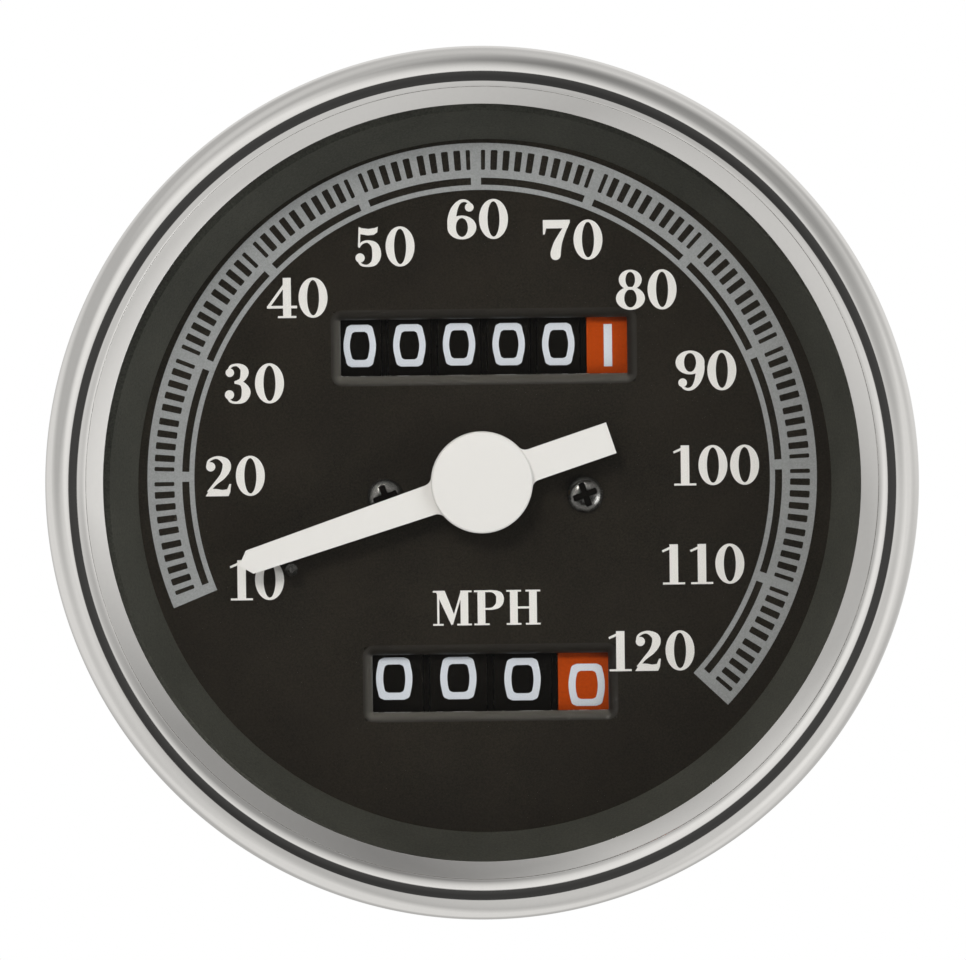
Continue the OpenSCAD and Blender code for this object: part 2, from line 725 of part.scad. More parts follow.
module frame_screws() {
    color([0.6, 0.6, 0.62]) stand() for (p = frame_screws_at) translate([p.x, p.y, 0])
        mirror([0, 0, 1]) cross_screw(1.8 * frame_screw_r, frame_head_h, frame_screw_r, base_top);
}

module field_ring() {
    color([0.5, 0.5, 0.52]) stand() translate([0, 0, field_z]) ring(field_r, field_in, field_top - field_z);
}

// Drive

module drive_gland() {
    edge = 0.6;
    wrench_flat = 1;
    wrench_step = -0.25;
    color([0.72, 0.72, 0.74]) stand() difference() {
        rotate_extrude() polygon([
            [drive_bush_r + seat_fit, base_top], [spigot_r, base_top], [spigot_r, 0], [gland_flange_r, 0],
            [gland_flange_r, -gland_flange_t], [gland_r, -gland_flange_t], [gland_r, edge - gland_len],
            [gland_r - edge, -gland_len], [socket_r, -gland_len], [socket_r, socket_depth - gland_len],
            [drive_bush_r + seat_fit, socket_depth - gland_len]]);
        for (s = [-1, 1]) translate([s * (gland_flange_r - wrench_flat + 5), 0, wrench_step - gland_flange_t])
            cube([10, 3 * gland_flange_r, 2 * gland_flange_t], center = true);
    }
}

module drive_bush() {
    bush_z = socket_depth - gland_len;
    color([0.7, 0.5, 0.28]) stand() translate([0, 0, bush_z])
        ring(drive_bush_r, drive_r + run_fit, base_top - bush_z);
}

module drive_shaft() {
    worm_z = shaft1_z - worm_len / 2;
    neck_r = worm1_r - tooth_m;
    color([0.6, 0.6, 0.62]) stand() difference() {
        union() {
            translate([0, 0, drive_end]) cylinder(r = drive_r, h = base_top + face_gap - drive_end);
            translate([0, 0, base_top]) cylinder(r = neck_r, h = worm_z - base_top);
            translate([0, 0, worm_z]) rotate(-90) worm(worm_len, worm1_r, tooth_m);
            translate([0, 0, worm_z + worm_len]) cylinder(r = neck_r, h = magnet_z - worm_z - worm_len);
            translate([0, 0, magnet_z]) cylinder(r = magnet_seat_r, h = magnet_h);
        }
        translate([-square_w / 2, -square_w / 2, drive_end - 1]) cube([square_w, square_w, square_depth + 1]);
        translate([0, 0, drive_top - pivot_depth]) cylinder(r = pivot_r + run_fit, h = pivot_depth + 1);
    }
}

module magnet() {
    notch_r = 1;
    color([0.3, 0.3, 0.32]) stand() translate([0, 0, magnet_z]) difference() {
        cylinder(r = magnet_r, h = magnet_h);
        translate([0, 0, -1]) cylinder(r = magnet_seat_r, h = magnet_h + 2);
        for (a = [0 : 90 : 270]) rotate(a) translate([magnet_r, 0, -1])
            cylinder(r = notch_r, h = magnet_h + 2);
    }
}

// Gear train

module first_gear_shaft() {
    x0 = end_lug_x - cheek_t;
    worm_x = third_x - worm_len / 2;
    gear_end = 1.2;
    color([0.7, 0.6, 0.4]) stand() {
        across(x0, shaft1_y, shaft1_z) cylinder(r = gear_shaft_r, h = worm_x - x0);
        across(-gear_end, shaft1_y, shaft1_z) rotate(180 / first_teeth)
            gear(first_teeth, first_r, tooth_m, 2 * gear_end);
        across(worm_x, shaft1_y, shaft1_z) rotate(180) worm(worm_len, worm2_r, tooth_m);
    }
}

module second_gear_shaft() {
    worm_z = idler_z - worm3_len / 2;
    top = lug_z + lug_t + face_gap;
    color([0.7, 0.6, 0.4]) stand() translate([third_x, shaft2_y, 0]) {
        translate([0, 0, base_z]) cylinder(r = gear_shaft_r, h = worm_z - base_z);
        translate([0, 0, shaft1_z - gear_w / 2]) rotate(90 + 180 / second_teeth)
            gear(second_teeth, second_r, tooth_m, gear_w);
        translate([0, 0, worm_z]) rotate(90) worm(worm3_len, worm3_r, third_m);
        translate([0, 0, worm_z + worm3_len]) cylinder(r = gear_shaft_r, h = top - worm_z - worm3_len);
    }
}

module idler_gear() {
    hub_end = third_x + gear_w / 2;
    idler_hub_wall = 1.5;
    hole_at = 0.62 * idler_r;
    hole_r = 0.17 * idler_r;
    color([0.85, 0.83, 0.76]) stand() difference() {
        union() {
            across(spur_x, idler_y, idler_z) rotate(idler_angle)
                gear(idler_teeth, idler_r, 2 * idler_r / idler_teeth, spur_w);
            across(third_x - gear_w / 2, idler_y, idler_z) rotate(180 + 180 / third_teeth)
                gear(third_teeth, third_r, third_m, gear_w);
            across(spur_x, idler_y, idler_z) cylinder(r = idler_pin_r + idler_hub_wall, h = hub_end - spur_x);
        }
        across(spur_x - 1, idler_y, idler_z) cylinder(r = idler_pin_r + run_fit, h = hub_end - spur_x + 2);
        for (a = [0 : 60 : 300]) across(spur_x - 1, idler_y, idler_z) rotate(a)
            translate([hole_at, 0, 0]) cylinder(r = hole_r, h = spur_w + 2);
    }
}

module idler_pin() {
    head_t = 0.8;
    head_w = 0.8;
    end = third_x + gear_w / 2 + face_gap;
    color([0.6, 0.6, 0.62]) stand() {
        across(cheek_right, idler_y, idler_z) cylinder(r = idler_pin_r, h = end - cheek_right);
        across(end, idler_y, idler_z) cylinder(r = idler_pin_r + head_w, h = head_t);
    }
}

// Number wheels, carry pinions and carrier plates

function odo_wheel_x(i) = odo_x + (i - (odo_wheels + 1) / 2) * odo_pitch;
function trip_wheel_x(i) = trip_x + (i - (trip_wheels + 1) / 2) * trip_pitch;

// Drum with a recess on each side: two carry teeth on the left, a full ring of inner teeth on the right
module number_wheel(x, y, w, bore_r) {
    recess = (w - web_t) / 2;
    across(x - w / 2, y, wheel_z) difference() {
        cylinder(r = wheel_r, h = w);
        translate([0, 0, -1]) difference() {
            cylinder(r = cavity_r, h = recess + 1);
            cylinder(r = wheel_hub_r, h = recess + 2);
            for (a = [81, 99]) rotate(a) translate([cavity_r - 1.6 * carry_m, -carry_m / 2, 0])
                cube([2 * carry_m, carry_m, recess + 2]);
        }
        translate([0, 0, w - recess]) difference() {
            linear_extrude(recess + 1)
                polygon(gear_points(ring_teeth, cavity_r - carry_m, carry_m, 0.62, 1, 0.6));
            translate([0, 0, -1]) cylinder(r = wheel_hub_r, h = recess + 3);
        }
        translate([0, 0, -1]) cylinder(r = bore_r, h = w + 2);
    }
}

module carry_pinion(x, y) {
    len = carrier_t + 2 * side_gap + 2 * carry_depth;
    across(x - len / 2, y, wheel_z - carry_reach) rotate(180 / pinion_teeth)
        gear(pinion_teeth, pinion_teeth * carry_m / 2, carry_m, len, add = carry_add);
}

// Plate between two wheels; its tail sits on the carrier rod, out is +1 or -1 along y
module carrier_plate(x, y, out) {
    plate_r = wheel_r - 0.4;
    tail_w = 3;
    eye_wall = 1;
    across(x - carrier_t / 2, y, wheel_z) linear_extrude(carrier_t) difference() {
        union() {
            circle(r = plate_r);
            translate([out * rod_reach / 2, 0]) square([rod_reach, tail_w], center = true);
            translate([out * rod_reach, 0]) circle(r = carrier_rod_r + eye_wall);
        }
        circle(r = counter_shaft_r + run_fit);
        translate([out * rod_reach, 0]) circle(r = carrier_rod_r + seat_fit);
        translate([0, -carry_reach]) circle(r = carry_tip + run_fit);
    }
}

module odometer_wheel(i) {
    last = i == odo_wheels;
    color(last ? [0.73, 0.28, 0.07] : [0.05, 0.05, 0.05]) stand()
        number_wheel(odo_wheel_x(i), odo_y, odo_wheel_w, counter_shaft_r + (last ? 0 : run_fit));
}

module trip_wheel(i) {
    color(i == trip_wheels ? [0.73, 0.28, 0.07] : [0.05, 0.05, 0.05]) stand()
        number_wheel(trip_wheel_x(i), -trip_y, trip_wheel_w, counter_shaft_r + run_fit);
}

module odometer_pinion(i) {
    color([0.85, 0.83, 0.76]) stand() carry_pinion(odo_wheel_x(i) + odo_pitch / 2, odo_y);
}

module trip_pinion(i) {
    color([0.85, 0.83, 0.76]) stand() carry_pinion(trip_wheel_x(i) + trip_pitch / 2, -trip_y);
}

module odometer_carriers() {
    color([0.1, 0.1, 0.1]) stand() for (i = [1 : odo_wheels - 1])
        carrier_plate(odo_wheel_x(i) + odo_pitch / 2, odo_y, 1);
}

module trip_carriers() {
    color([0.1, 0.1, 0.1]) stand() for (i = [1 : trip_wheels - 1])
        carrier_plate(trip_wheel_x(i) + trip_pitch / 2, -trip_y, -1);
}

module carrier_rods() {
    x0 = cheek_left - cheek_t;
    color([0.6, 0.6, 0.62]) stand() for (y = [odo_rod_y, trip_rod_y])
        across(x0, y, wheel_z) cylinder(r = carrier_rod_r, h = cheek_right + cheek_t - x0);
}

module odometer_shaft() {
    x0 = cheek_left - cheek_t - cheek_gap;
    color([0.6, 0.6, 0.62]) stand() across(x0, odo_y, wheel_z)
        cylinder(r = counter_shaft_r, h = spur_x + spur_w + cheek_gap - x0);
}

module odometer_drive_gear() {
    color([0.85, 0.83, 0.76]) stand() across(spur_x, odo_y, wheel_z) difference() {
        rotate(idler_angle + 180 + 180 / spur_teeth)
            gear(spur_teeth, spur_r, 2 * spur_r / spur_teeth, spur_w);
        translate([0, 0, -1]) cylinder(r = counter_shaft_r, h = spur_w + 2);
    }
}

module trip_shaft() {
    x0 = reset_x - gear_w / 2 - cheek_gap;
    pinion_w = 1.2;
    slim = 0.3;
    color([0.6, 0.6, 0.62]) stand() {
        across(x0, -trip_y, wheel_z) cylinder(r = counter_shaft_r, h = spur_x + spur_w + cheek_gap - x0);
        across(reset_x - pinion_w / 2, -trip_y, wheel_z) rotate(180 / reset_teeth - 90)
            gear(reset_teeth, reset_r, tooth_m, pinion_w, slim);
    }
}

// Gear with a sleeve that runs on the trip shaft and carries the last trip wheel
module trip_drive_gear() {
    idler_step = 360 / idler_teeth;
    lag = (180 - 2 * idler_angle) % idler_step;
    sleeve_x = trip_wheel_x(trip_wheels) + trip_wheel_w / 2;
    color([0.85, 0.83, 0.76]) stand() difference() {
        union() {
            across(spur_x, -trip_y, wheel_z)
                rotate(-idler_angle + lag * idler_teeth / spur_teeth + 180 / spur_teeth)
                    gear(spur_teeth, spur_r, 2 * spur_r / spur_teeth, spur_w);
            across(sleeve_x, -trip_y, wheel_z) cylinder(r = sleeve_r, h = spur_x - sleeve_x);
        }
        across(sleeve_x - 1, -trip_y, wheel_z)
            cylinder(r = counter_shaft_r + run_fit, h = spur_x + spur_w - sleeve_x + 2);
    }
}

// Trip reset

// Stem with a crown gear on its inner end
module reset_stem() {
    disc_t = 1.5;
    tooth_w = 0.4;
    tooth_len = 1.4;
    color([0.6, 0.6, 0.62]) stand() translate([stem_x, -trip_y, 0]) {
        translate([0, 0, -knob_gap - knob_len / 2])
            cylinder(r = stem_r, h = crown_z - disc_t + knob_gap + knob_len / 2);
        translate([0, 0, crown_z - disc_t]) cylinder(r = crown_r + crown_edge, h = disc_t);
        for (i = [0 : crown_teeth - 1]) rotate(i * 360 / crown_teeth)
            translate([crown_r - tooth_len / 2, -tooth_w / 2, crown_z - disc_t / 2])
                cube([tooth_len, tooth_w, crown_root + crown_tip + disc_t / 2]);
    }
}

module reset_knob() {
    edge = 1;
    taper_w = 2;
    taper_h = 3;
    flutes = 20;
    flute_r = 0.7;
    flute_out = 0.3;
    flute_inset = 1.6;
    flute_len = knob_len - 5.4;
    color([0.05, 0.05, 0.05]) stand() translate([stem_x, -trip_y, -knob_gap - knob_len]) difference() {
        rotate_extrude() polygon(concat(
            [[0, 0]], arc([knob_r - edge, edge], edge, -90, 0, 6),
            [[knob_r, knob_len - taper_h], [knob_r - taper_w, knob_len], [0, knob_len]]));
        translate([0, 0, knob_len / 2]) cylinder(r = stem_r, h = knob_len);
        for (i = [0 : flutes - 1]) rotate((i + 0.5) * 360 / flutes)
            translate([knob_r + flute_out, 0, flute_inset]) cylinder(r = flute_r, h = flute_len);
    }
}

// Rear fittings

module mounting_studs() {
    color([0.7, 0.7, 0.72]) stand() for (s = [-1, 1]) translate([s * stud_pitch / 2, 0, 0]) {
        translate([0, 0, case_wall]) cylinder(r = stud_head_r, h = stud_head_t);
        translate([0, 0, -stud_len]) cylinder(r1 = stud_r - stud_edge, r2 = stud_r, h = stud_edge);
        translate([0, 0, stud_edge - stud_len]) cylinder(r = stud_r, h = stud_len - stud_edge - shoulder_len);
        translate([0, 0, -shoulder_len]) cylinder(r = shoulder_r, h = shoulder_len + case_wall);
    }
}

module stud_nuts() {
    color([0.7, 0.7, 0.72]) stand() for (s = [-1, 1]) translate([s * stud_pitch / 2, 0, -nut_t])
        difference() {
            cylinder(d = nut_af / cos(30), h = nut_t, $fn = 6);
            translate([0, 0, -1]) cylinder(r = shoulder_r + seat_fit, h = nut_t + 2);
        }
}

// Push-in holder: rubber cap outside with two blades, neck through the case
module lamp_sockets() {
    blade = [0.8, 4.8, 7];
    blade_x = 2;
    cap_r = lamp_r + 0.3;
    skirt_r = lamp_r + 1.5;
    skirt_h = 2;
    edge = 1;
    color([0.06, 0.06, 0.06]) stand() for (s = [-1, 1]) translate([s * lamp_x, lamp_y, 0]) {
        rotate_extrude() polygon([
            [0, -lamp_cap_h], [cap_r - edge, -lamp_cap_h], [cap_r, edge - lamp_cap_h],
            [cap_r, -skirt_h - edge], [skirt_r, -skirt_h], [skirt_r, 0],
            [lamp_r, 0], [lamp_r, lamp_neck_h], [0, lamp_neck_h]]);
        for (k = [-1, 1]) translate([k * blade_x, 0, -lamp_cap_h - blade.z / 2]) cube(blade, center = true);
    }
}

module lamp_bulbs() {
    glass_h = 8;
    color([0.9, 0.9, 0.85, 0.6]) stand() for (s = [-1, 1]) translate([s * lamp_x, lamp_y, lamp_neck_h])
        rotate_extrude() polygon(concat(
            [[0, 0], [bulb_r, 0]], arc([0, glass_h], bulb_r, 0, 90, 10)));
}

rear_case();
bezel();
lens();
lens_gasket();
trim_ring();
dial();
dial_screws();
stop_pin();
pointer();
pointer_bush();
pointer_spindle();
speed_cup();
hairspring();
hairspring_collet();
hairspring_stud();
bridge();
bridge_bush();
bridge_screws();
mechanism_frame();
frame_screws();
field_ring();
drive_gland();
drive_bush();
drive_shaft();
magnet();
first_gear_shaft();
second_gear_shaft();
idler_gear();
idler_pin();
carrier_rods();
odometer_shaft();
odometer_drive_gear();
odometer_carriers();
for (i = [1 : odo_wheels]) odometer_wheel(i);
for (i = [1 : odo_wheels - 1]) odometer_pinion(i);
trip_shaft();
trip_drive_gear();
trip_carriers();
for (i = [1 : trip_wheels]) trip_wheel(i);
for (i = [1 : trip_wheels - 1]) trip_pinion(i);
reset_stem();
reset_knob();
mounting_studs();
stud_nuts();
lamp_sockets();
lamp_bulbs();
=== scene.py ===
# %% [markdown]
# # Dressing a round speedometer
# The instrument arrives as finished solids: every shaft, wheel and cover is already in its place and at its
# real size. This lesson gives those solids their surfaces. It adds what is too thin to be a solid, such as
# printed ink, and it lays smooth skins over the turned pieces whose reflections would show the solid's
# facets.

# %% Load the instrument
import json
import math

import bmesh
import bpy
import numpy as np
from mathutils import Matrix, Vector
from mathutils.geometry import delaunay_2d_cdt


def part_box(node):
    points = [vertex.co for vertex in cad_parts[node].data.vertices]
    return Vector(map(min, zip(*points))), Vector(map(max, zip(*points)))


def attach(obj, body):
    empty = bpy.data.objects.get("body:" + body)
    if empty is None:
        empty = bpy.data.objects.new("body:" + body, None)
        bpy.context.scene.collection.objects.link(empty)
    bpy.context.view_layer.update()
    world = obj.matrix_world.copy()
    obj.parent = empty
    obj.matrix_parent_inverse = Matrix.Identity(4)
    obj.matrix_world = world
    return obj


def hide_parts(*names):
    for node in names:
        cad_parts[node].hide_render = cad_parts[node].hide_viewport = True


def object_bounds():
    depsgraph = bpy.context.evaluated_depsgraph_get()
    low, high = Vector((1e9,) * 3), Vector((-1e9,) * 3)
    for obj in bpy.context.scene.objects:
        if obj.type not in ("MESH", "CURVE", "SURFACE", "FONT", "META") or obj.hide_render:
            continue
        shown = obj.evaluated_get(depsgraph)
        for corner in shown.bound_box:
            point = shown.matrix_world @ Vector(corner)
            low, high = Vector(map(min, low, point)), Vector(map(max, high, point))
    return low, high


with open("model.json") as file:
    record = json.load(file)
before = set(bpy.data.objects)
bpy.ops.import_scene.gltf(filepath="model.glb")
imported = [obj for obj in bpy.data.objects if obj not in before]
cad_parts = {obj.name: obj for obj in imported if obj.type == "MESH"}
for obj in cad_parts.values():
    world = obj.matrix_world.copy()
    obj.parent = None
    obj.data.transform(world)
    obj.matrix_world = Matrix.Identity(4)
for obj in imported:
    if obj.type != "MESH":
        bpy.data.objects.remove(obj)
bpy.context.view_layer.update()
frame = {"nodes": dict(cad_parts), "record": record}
nodes = frame["nodes"]
MM = 0.001
print("pieces in the frame:", len(nodes))

# %% [markdown]
# ## One set of coordinates
# A dial maker thinks in u to the right, v up and w out of the dial towards the reader, with the pointer's
# axis at u = v = 0. The frame has the dial facing -Y, so a point (u, v, w) is (u, -w, v) there. The levels
# that the print and the skins need are read from the solids, so they move with them.


# %% Levels of the instrument
def place(u, v, w):
    """Dial coordinates in millimetres become frame coordinates in metres: (u, -w, v)."""
    u, v, w = np.broadcast_arrays(u, v, w)
    return np.stack([u, -w, v], axis=-1) * MM


def front(name):
    """The level of a solid's face that is nearest to the reader, in millimetres."""
    return -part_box(name)[0].y / MM


def back(name):
    """The level of a solid's rear face, in millimetres."""
    return -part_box(name)[1].y / MM


def middle(name):
    """The (u, v) of the middle of a solid's box, in millimetres."""
    low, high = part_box(name)
    return np.array([(low.x + high.x) / 2, (low.z + high.z) / 2]) / MM


def reach(name):
    """Half the width of a round solid, in millimetres."""
    low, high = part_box(name)
    return (high.x - low.x) / 2 / MM


def bore(name):
    """The smallest distance of a ring-shaped solid from the pointer's axis, in millimetres."""
    mesh = nodes[name].data
    points = np.empty(len(mesh.vertices) * 3, dtype=np.float32)
    mesh.vertices.foreach_get("co", points)
    return float(np.hypot(points[0::3], points[2::3]).min()) / MM


DIAL_FACE = front("dial")
GLASS_TOP = front("lens")
print("dial face", round(DIAL_FACE, 3), "glass", round(GLASS_TOP, 3), "bezel", round(front("bezel"), 3))

# %% [markdown]
# ## From arrays to meshes
# Every new surface here is a function of two parameters, worked out for all its points at once. The helpers
# turn such a grid into a mesh, mark the edges that should stay crisp, and hand the piece to the body that
# carries it.


# %% Grids and pieces
def mesh_from_arrays(verts, faces):
    """A mesh from an array of points and an array of faces that all have the same number of sides."""
    mesh = bpy.data.meshes.new("surface")
    points = np.ascontiguousarray(verts, dtype=np.float32).reshape(-1, 3)
    mesh.vertices.add(len(points))
    mesh.vertices.foreach_set("co", points.ravel())
    mesh.loops.add(faces.size)
    mesh.loops.foreach_set("vertex_index", np.ascontiguousarray(faces, dtype=np.int32).ravel())
    mesh.polygons.add(len(faces))
    mesh.polygons.foreach_set("loop_start", np.arange(len(faces), dtype=np.int32) * faces.shape[1])
    mesh.update(calc_edges=True)
    return mesh


def repeated(shapes, faces):
    """One mesh of several shapes that share their faces: each shape's points in turn."""
    points = [s.reshape(-1, 3) for s in shapes]
    return mesh_from_arrays(np.vstack(points), np.vstack([faces + k * len(p) for k, p in enumerate(points)]))


def grid_faces(rows, columns, wrap_rows, wrap_columns):
    """Corner numbers of the four-sided cells of a grid, which may close on itself in either direction."""
    i = np.arange(rows if wrap_rows else rows - 1)[:, None]
    j = np.arange(columns if wrap_columns else columns - 1)[None, :]
    down, right = (i + 1) % rows, (j + 1) % columns
    cells = [i * columns + j, i * columns + right, down * columns + right, down * columns + j]
    return np.stack([np.broadcast_to(c, (i.size, j.size)) for c in cells], axis=-1).reshape(-1, 4)


def weld(mesh, distance=1e-7):
    """Joins points that coincide, such as the ring of points that a grid has on an axis."""
    work = bmesh.new()
    work.from_mesh(mesh)
    bmesh.ops.remove_doubles(work, verts=work.verts, dist=distance)
    work.to_mesh(mesh)
    work.free()


def keep_piece(name, mesh, slot, crisp=30, body="case_body", look=None):
    """Puts a mesh in the scene as a piece of the instrument, smooth but for edges over crisp degrees.

    Its material is the one of its slot, unless another look is named.
    """
    mesh.name = name
    weld(mesh)
    mesh.polygons.foreach_set("use_smooth", np.ones(len(mesh.polygons), dtype=bool))
    mesh.set_sharp_from_angle(angle=math.radians(crisp))
    mesh.materials.append(LOOKS[look or slot])
    piece = bpy.data.objects.new(name, mesh)
    bpy.context.scene.collection.objects.link(piece)
    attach(piece, body)
    return piece


# %% Lathes and flat fills
def arc(centre, radii, start, end, count=36):
    """Points of a round or oval arc between two angles in degrees; radii is one number or a pair."""
    a = np.radians(np.linspace(start, end, count))
    return np.asarray(centre) + np.stack([np.cos(a), np.sin(a)], axis=-1) * radii


def full_turn(steps):
    """Angles of a full turn in equal steps, as a column."""
    return np.linspace(0, 2 * np.pi, steps, endpoint=False)[:, None]


def turned(profile, centre=(0, 0), steps=256):
    """A closed profile of (radius, level) points carried round an axis from the back to the reader."""
    r, w = np.asarray(profile, dtype=float).T
    a = full_turn(steps)
    verts = place(centre[0] + r * np.cos(a), centre[1] + r * np.sin(a), w)
    return mesh_from_arrays(verts, grid_faces(steps, len(r), True, True)[:, ::-1])


def rotation(degrees):
    """The matrix that turns rows of (x, y) points counter-clockwise."""
    t = math.radians(degrees)
    return np.array([(math.cos(t), math.sin(t)), (-math.sin(t), math.cos(t))])


def left_handed(outline):
    """The outline in the order that keeps its inside on the left, found from the sign of its area."""
    outline = np.asarray(outline, dtype=float)
    x, y = outline.T
    return outline if np.sum(x * np.roll(y, -1) - y * np.roll(x, -1)) > 0 else outline[::-1]


def flat_fill(filled, cut=(), strip=None):
    """Triangles that cover the union of the filled outlines, less what lies inside a cut outline.

    With strip, level lines at that spacing also divide them, so that the fill can be bent round a drum.
    """
    outlines = [left_handed(p) for p in list(filled) + list(cut)]
    points = [Vector(p) for outline in outlines for p in outline]
    starts = np.cumsum([0] + [len(o) for o in outlines])
    loops = [list(range(a, b)) for a, b in zip(starts[:-1], starts[1:])]
    lines = []
    if strip:
        low, high = np.vstack(outlines).min(axis=0) - 0.01, np.vstack(outlines).max(axis=0) + 0.01
        for y in np.arange(low[1] + strip / 2, high[1], strip):
            lines.append((len(points), len(points) + 1))
            points += [Vector((low[0], y)), Vector((high[0], y))]
    verts, _, faces, _, _, owners = delaunay_2d_cdt(points, lines, loops, 1, 1e-6)
    kept = [f for f, own in zip(faces, owners) if own and max(own) < len(filled)]
    verts = np.array([tuple(v) for v in verts])
    faces = np.array(kept, dtype=np.int32)
    a, b, c = (verts[faces[:, k]] for k in range(3))
    clockwise = (b[:, 0] - a[:, 0]) * (c[:, 1] - a[:, 1]) < (b[:, 1] - a[:, 1]) * (c[:, 0] - a[:, 0])
    faces[clockwise] = faces[clockwise][:, ::-1]
    used, index = np.unique(faces, return_inverse=True)
    return verts[used], index.reshape(-1, 3)


def ink_film(verts, faces, thickness, lift):
    """A thin closed film: the filled outline in front, its copy behind, and a wall along every open edge.

    lift(points, height) gives the frame position of flat points at a height above the printed surface.
    """
    edges = np.concatenate([faces[:, [0, 1]], faces[:, [1, 2]], faces[:, [2, 0]]]).astype(np.int64)
    count = len(verts)
    open_edge = ~np.isin(edges[:, 0] * count + edges[:, 1], edges[:, 1] * count + edges[:, 0])
    first, second = edges[open_edge].T
    walls = [np.stack([first, first + count, second], axis=-1),
             np.stack([second, first + count, second + count], axis=-1)]
    points = np.concatenate([lift(verts, thickness), lift(verts, 0.0)])
    return mesh_from_arrays(points, np.concatenate([faces, faces[:, ::-1] + count, *walls]))


def lift_from(level, sunk=0.0):
    """A lift for flat prints: points stand at a height above a level, and the underside is sunk into it."""
    return lambda p, height: place(p[:, 0], p[:, 1], level + (height if height else -sunk))


# %% [markdown]
# ## Shared shader groups
# Three effects come back in nearly every material: a fine grain that varies colour and gloss, lines left by
# turning or brushing, and dust or finger grease that lies thinly on a surface. Each one is a node group
# that puts out only colours, masks and normals. The shader itself stays in the material, so every material
# can weigh them differently.


# %% Node helpers
def put(tree, socket, value):
    """Links an input socket to an output socket, or sets its own value."""
    if isinstance(value, bpy.types.NodeSocket):
        tree.links.new(value, socket)
    else:
        socket.default_value = value


def node(tree, kind, settings=None, **values):
    """Adds a node, sets its properties and fills the named input sockets (_ stands for a space)."""
    made = tree.nodes.new("ShaderNode" + kind)
    for key, value in (settings or {}).items():
        setattr(made, key, value)
    for key, value in values.items():
        put(tree, made.inputs[key.replace("_", " ")], value)
    return made


def fill(tree, made, *values, first=0):
    """Fills a node's inputs in order, from the given one on, and returns its outputs."""
    for socket, value in zip(made.inputs[first:], values):
        put(tree, socket, value)
    return made.outputs


def maths(tree, operation, *values):
    """The result of a Math node."""
    return fill(tree, node(tree, "Math", {"operation": operation}), *values)[0]


def facing(tree, vector, direction):
    """How far a vector points along a fixed direction: their dot product."""
    return fill(tree, node(tree, "VectorMath", {"operation": "DOT_PRODUCT"}), vector, direction)["Value"]


def mix_colour(tree, factor, zero, one):
    """A colour between two others."""
    return fill(tree, node(tree, "Mix", {"data_type": "RGBA"}, Factor=factor), zero, one, first=6)[2]


def mix_shader(tree, factor, zero, one):
    """A shader between two others."""
    return fill(tree, node(tree, "MixShader"), factor, zero, one)["Shader"]


def remap(tree, value, low, high, out_low=0.0, out_high=1.0):
    """Carries a value from one range to another and stops at the ends."""
    return node(tree, "MapRange", Value=value, From_Min=low, From_Max=high, To_Min=out_low,
                To_Max=out_high).outputs["Result"]


def noise(tree, vector=None, **values):
    """The height of a noise pattern; it lies on the piece's Object coordinates unless a vector is given."""
    if vector is None:
        vector = node(tree, "TexCoord").outputs["Object"]
    return node(tree, "TexNoise", Vector=vector, **values).outputs["Fac"]


def shader_group(name, inputs, outputs):
    """An empty node group with its sockets; returns it with its inputs and its output node."""
    tree = bpy.data.node_groups.new(name, "ShaderNodeTree")
    for label, kind, value in inputs:
        tree.interface.new_socket(label, in_out="INPUT", socket_type=kind).default_value = value
    for label, kind in outputs:
        tree.interface.new_socket(label, in_out="OUTPUT", socket_type=kind)
    return tree, tree.nodes.new("NodeGroupInput").outputs, tree.nodes.new("NodeGroupOutput")


def group(tree, shared, **values):
    """The outputs of a shared group, used in a material with these values."""
    return node(tree, "Group", {"node_tree": shared}, **values).outputs


# %% The three groups
FLOAT, COLOUR, VECTOR = "NodeSocketFloat", "NodeSocketColor", "NodeSocketVector"
GRAIN_DEPTH, LINE_DEPTH = 0.04 * MM, 0.02 * MM
BROAD_SCALE, FINE_SHARE = 0.03, 0.65

grain, given, result = shader_group(
    "fine grain",
    [("Colour", COLOUR, (0.5, 0.5, 0.5, 1)), ("Scale", FLOAT, 2000.0), ("Spread", FLOAT, 0.2),
     ("Relief", FLOAT, 0.1), ("Roughness", FLOAT, 0.5), ("Gloss Spread", FLOAT, 0.1)],
    [("Colour", COLOUR), ("Roughness", FLOAT), ("Normal", VECTOR)])
fine = noise(grain, Scale=given["Scale"], Detail=3.0, Roughness=0.6)
broad = noise(grain, Scale=maths(grain, "MULTIPLY", given["Scale"], BROAD_SCALE), Detail=4.0)
both = maths(grain, "MULTIPLY_ADD", fine, FINE_SHARE, remap(grain, broad, 0.25, 0.75, 0.12, 0.23))
centred = remap(grain, both, 0.2, 0.8, -1.0, 1.0)
shade = maths(grain, "MULTIPLY_ADD", centred, given["Spread"], 1.0)
tinted = fill(grain, node(grain, "VectorMath", {"operation": "SCALE"}, Scale=shade), given["Colour"])[0]
gloss = maths(grain, "MULTIPLY_ADD", centred, given["Gloss Spread"], given["Roughness"])
bump = node(grain, "Bump", Strength=given["Relief"], Distance=GRAIN_DEPTH, Height=fine)
fill(grain, result, tinted, gloss, bump.outputs["Normal"])

turning, given, result = shader_group(
    "tool lines",
    [("Stretch", VECTOR, (1, 1, 1)), ("Scale", FLOAT, 3000.0), ("Relief", FLOAT, 0.1),
     ("Normal", VECTOR, (0, 0, 0))],
    [("Normal", VECTOR)])
spot = node(turning, "TexCoord").outputs["Object"]
drawn = fill(turning, node(turning, "VectorMath", {"operation": "MULTIPLY"}), spot, given["Stretch"])[0]
lines = noise(turning, drawn, Scale=given["Scale"], Detail=2.0)
bump = node(turning, "Bump", Strength=given["Relief"], Distance=LINE_DEPTH, Height=lines,
            Normal=given["Normal"])
fill(turning, result, bump.outputs["Normal"])

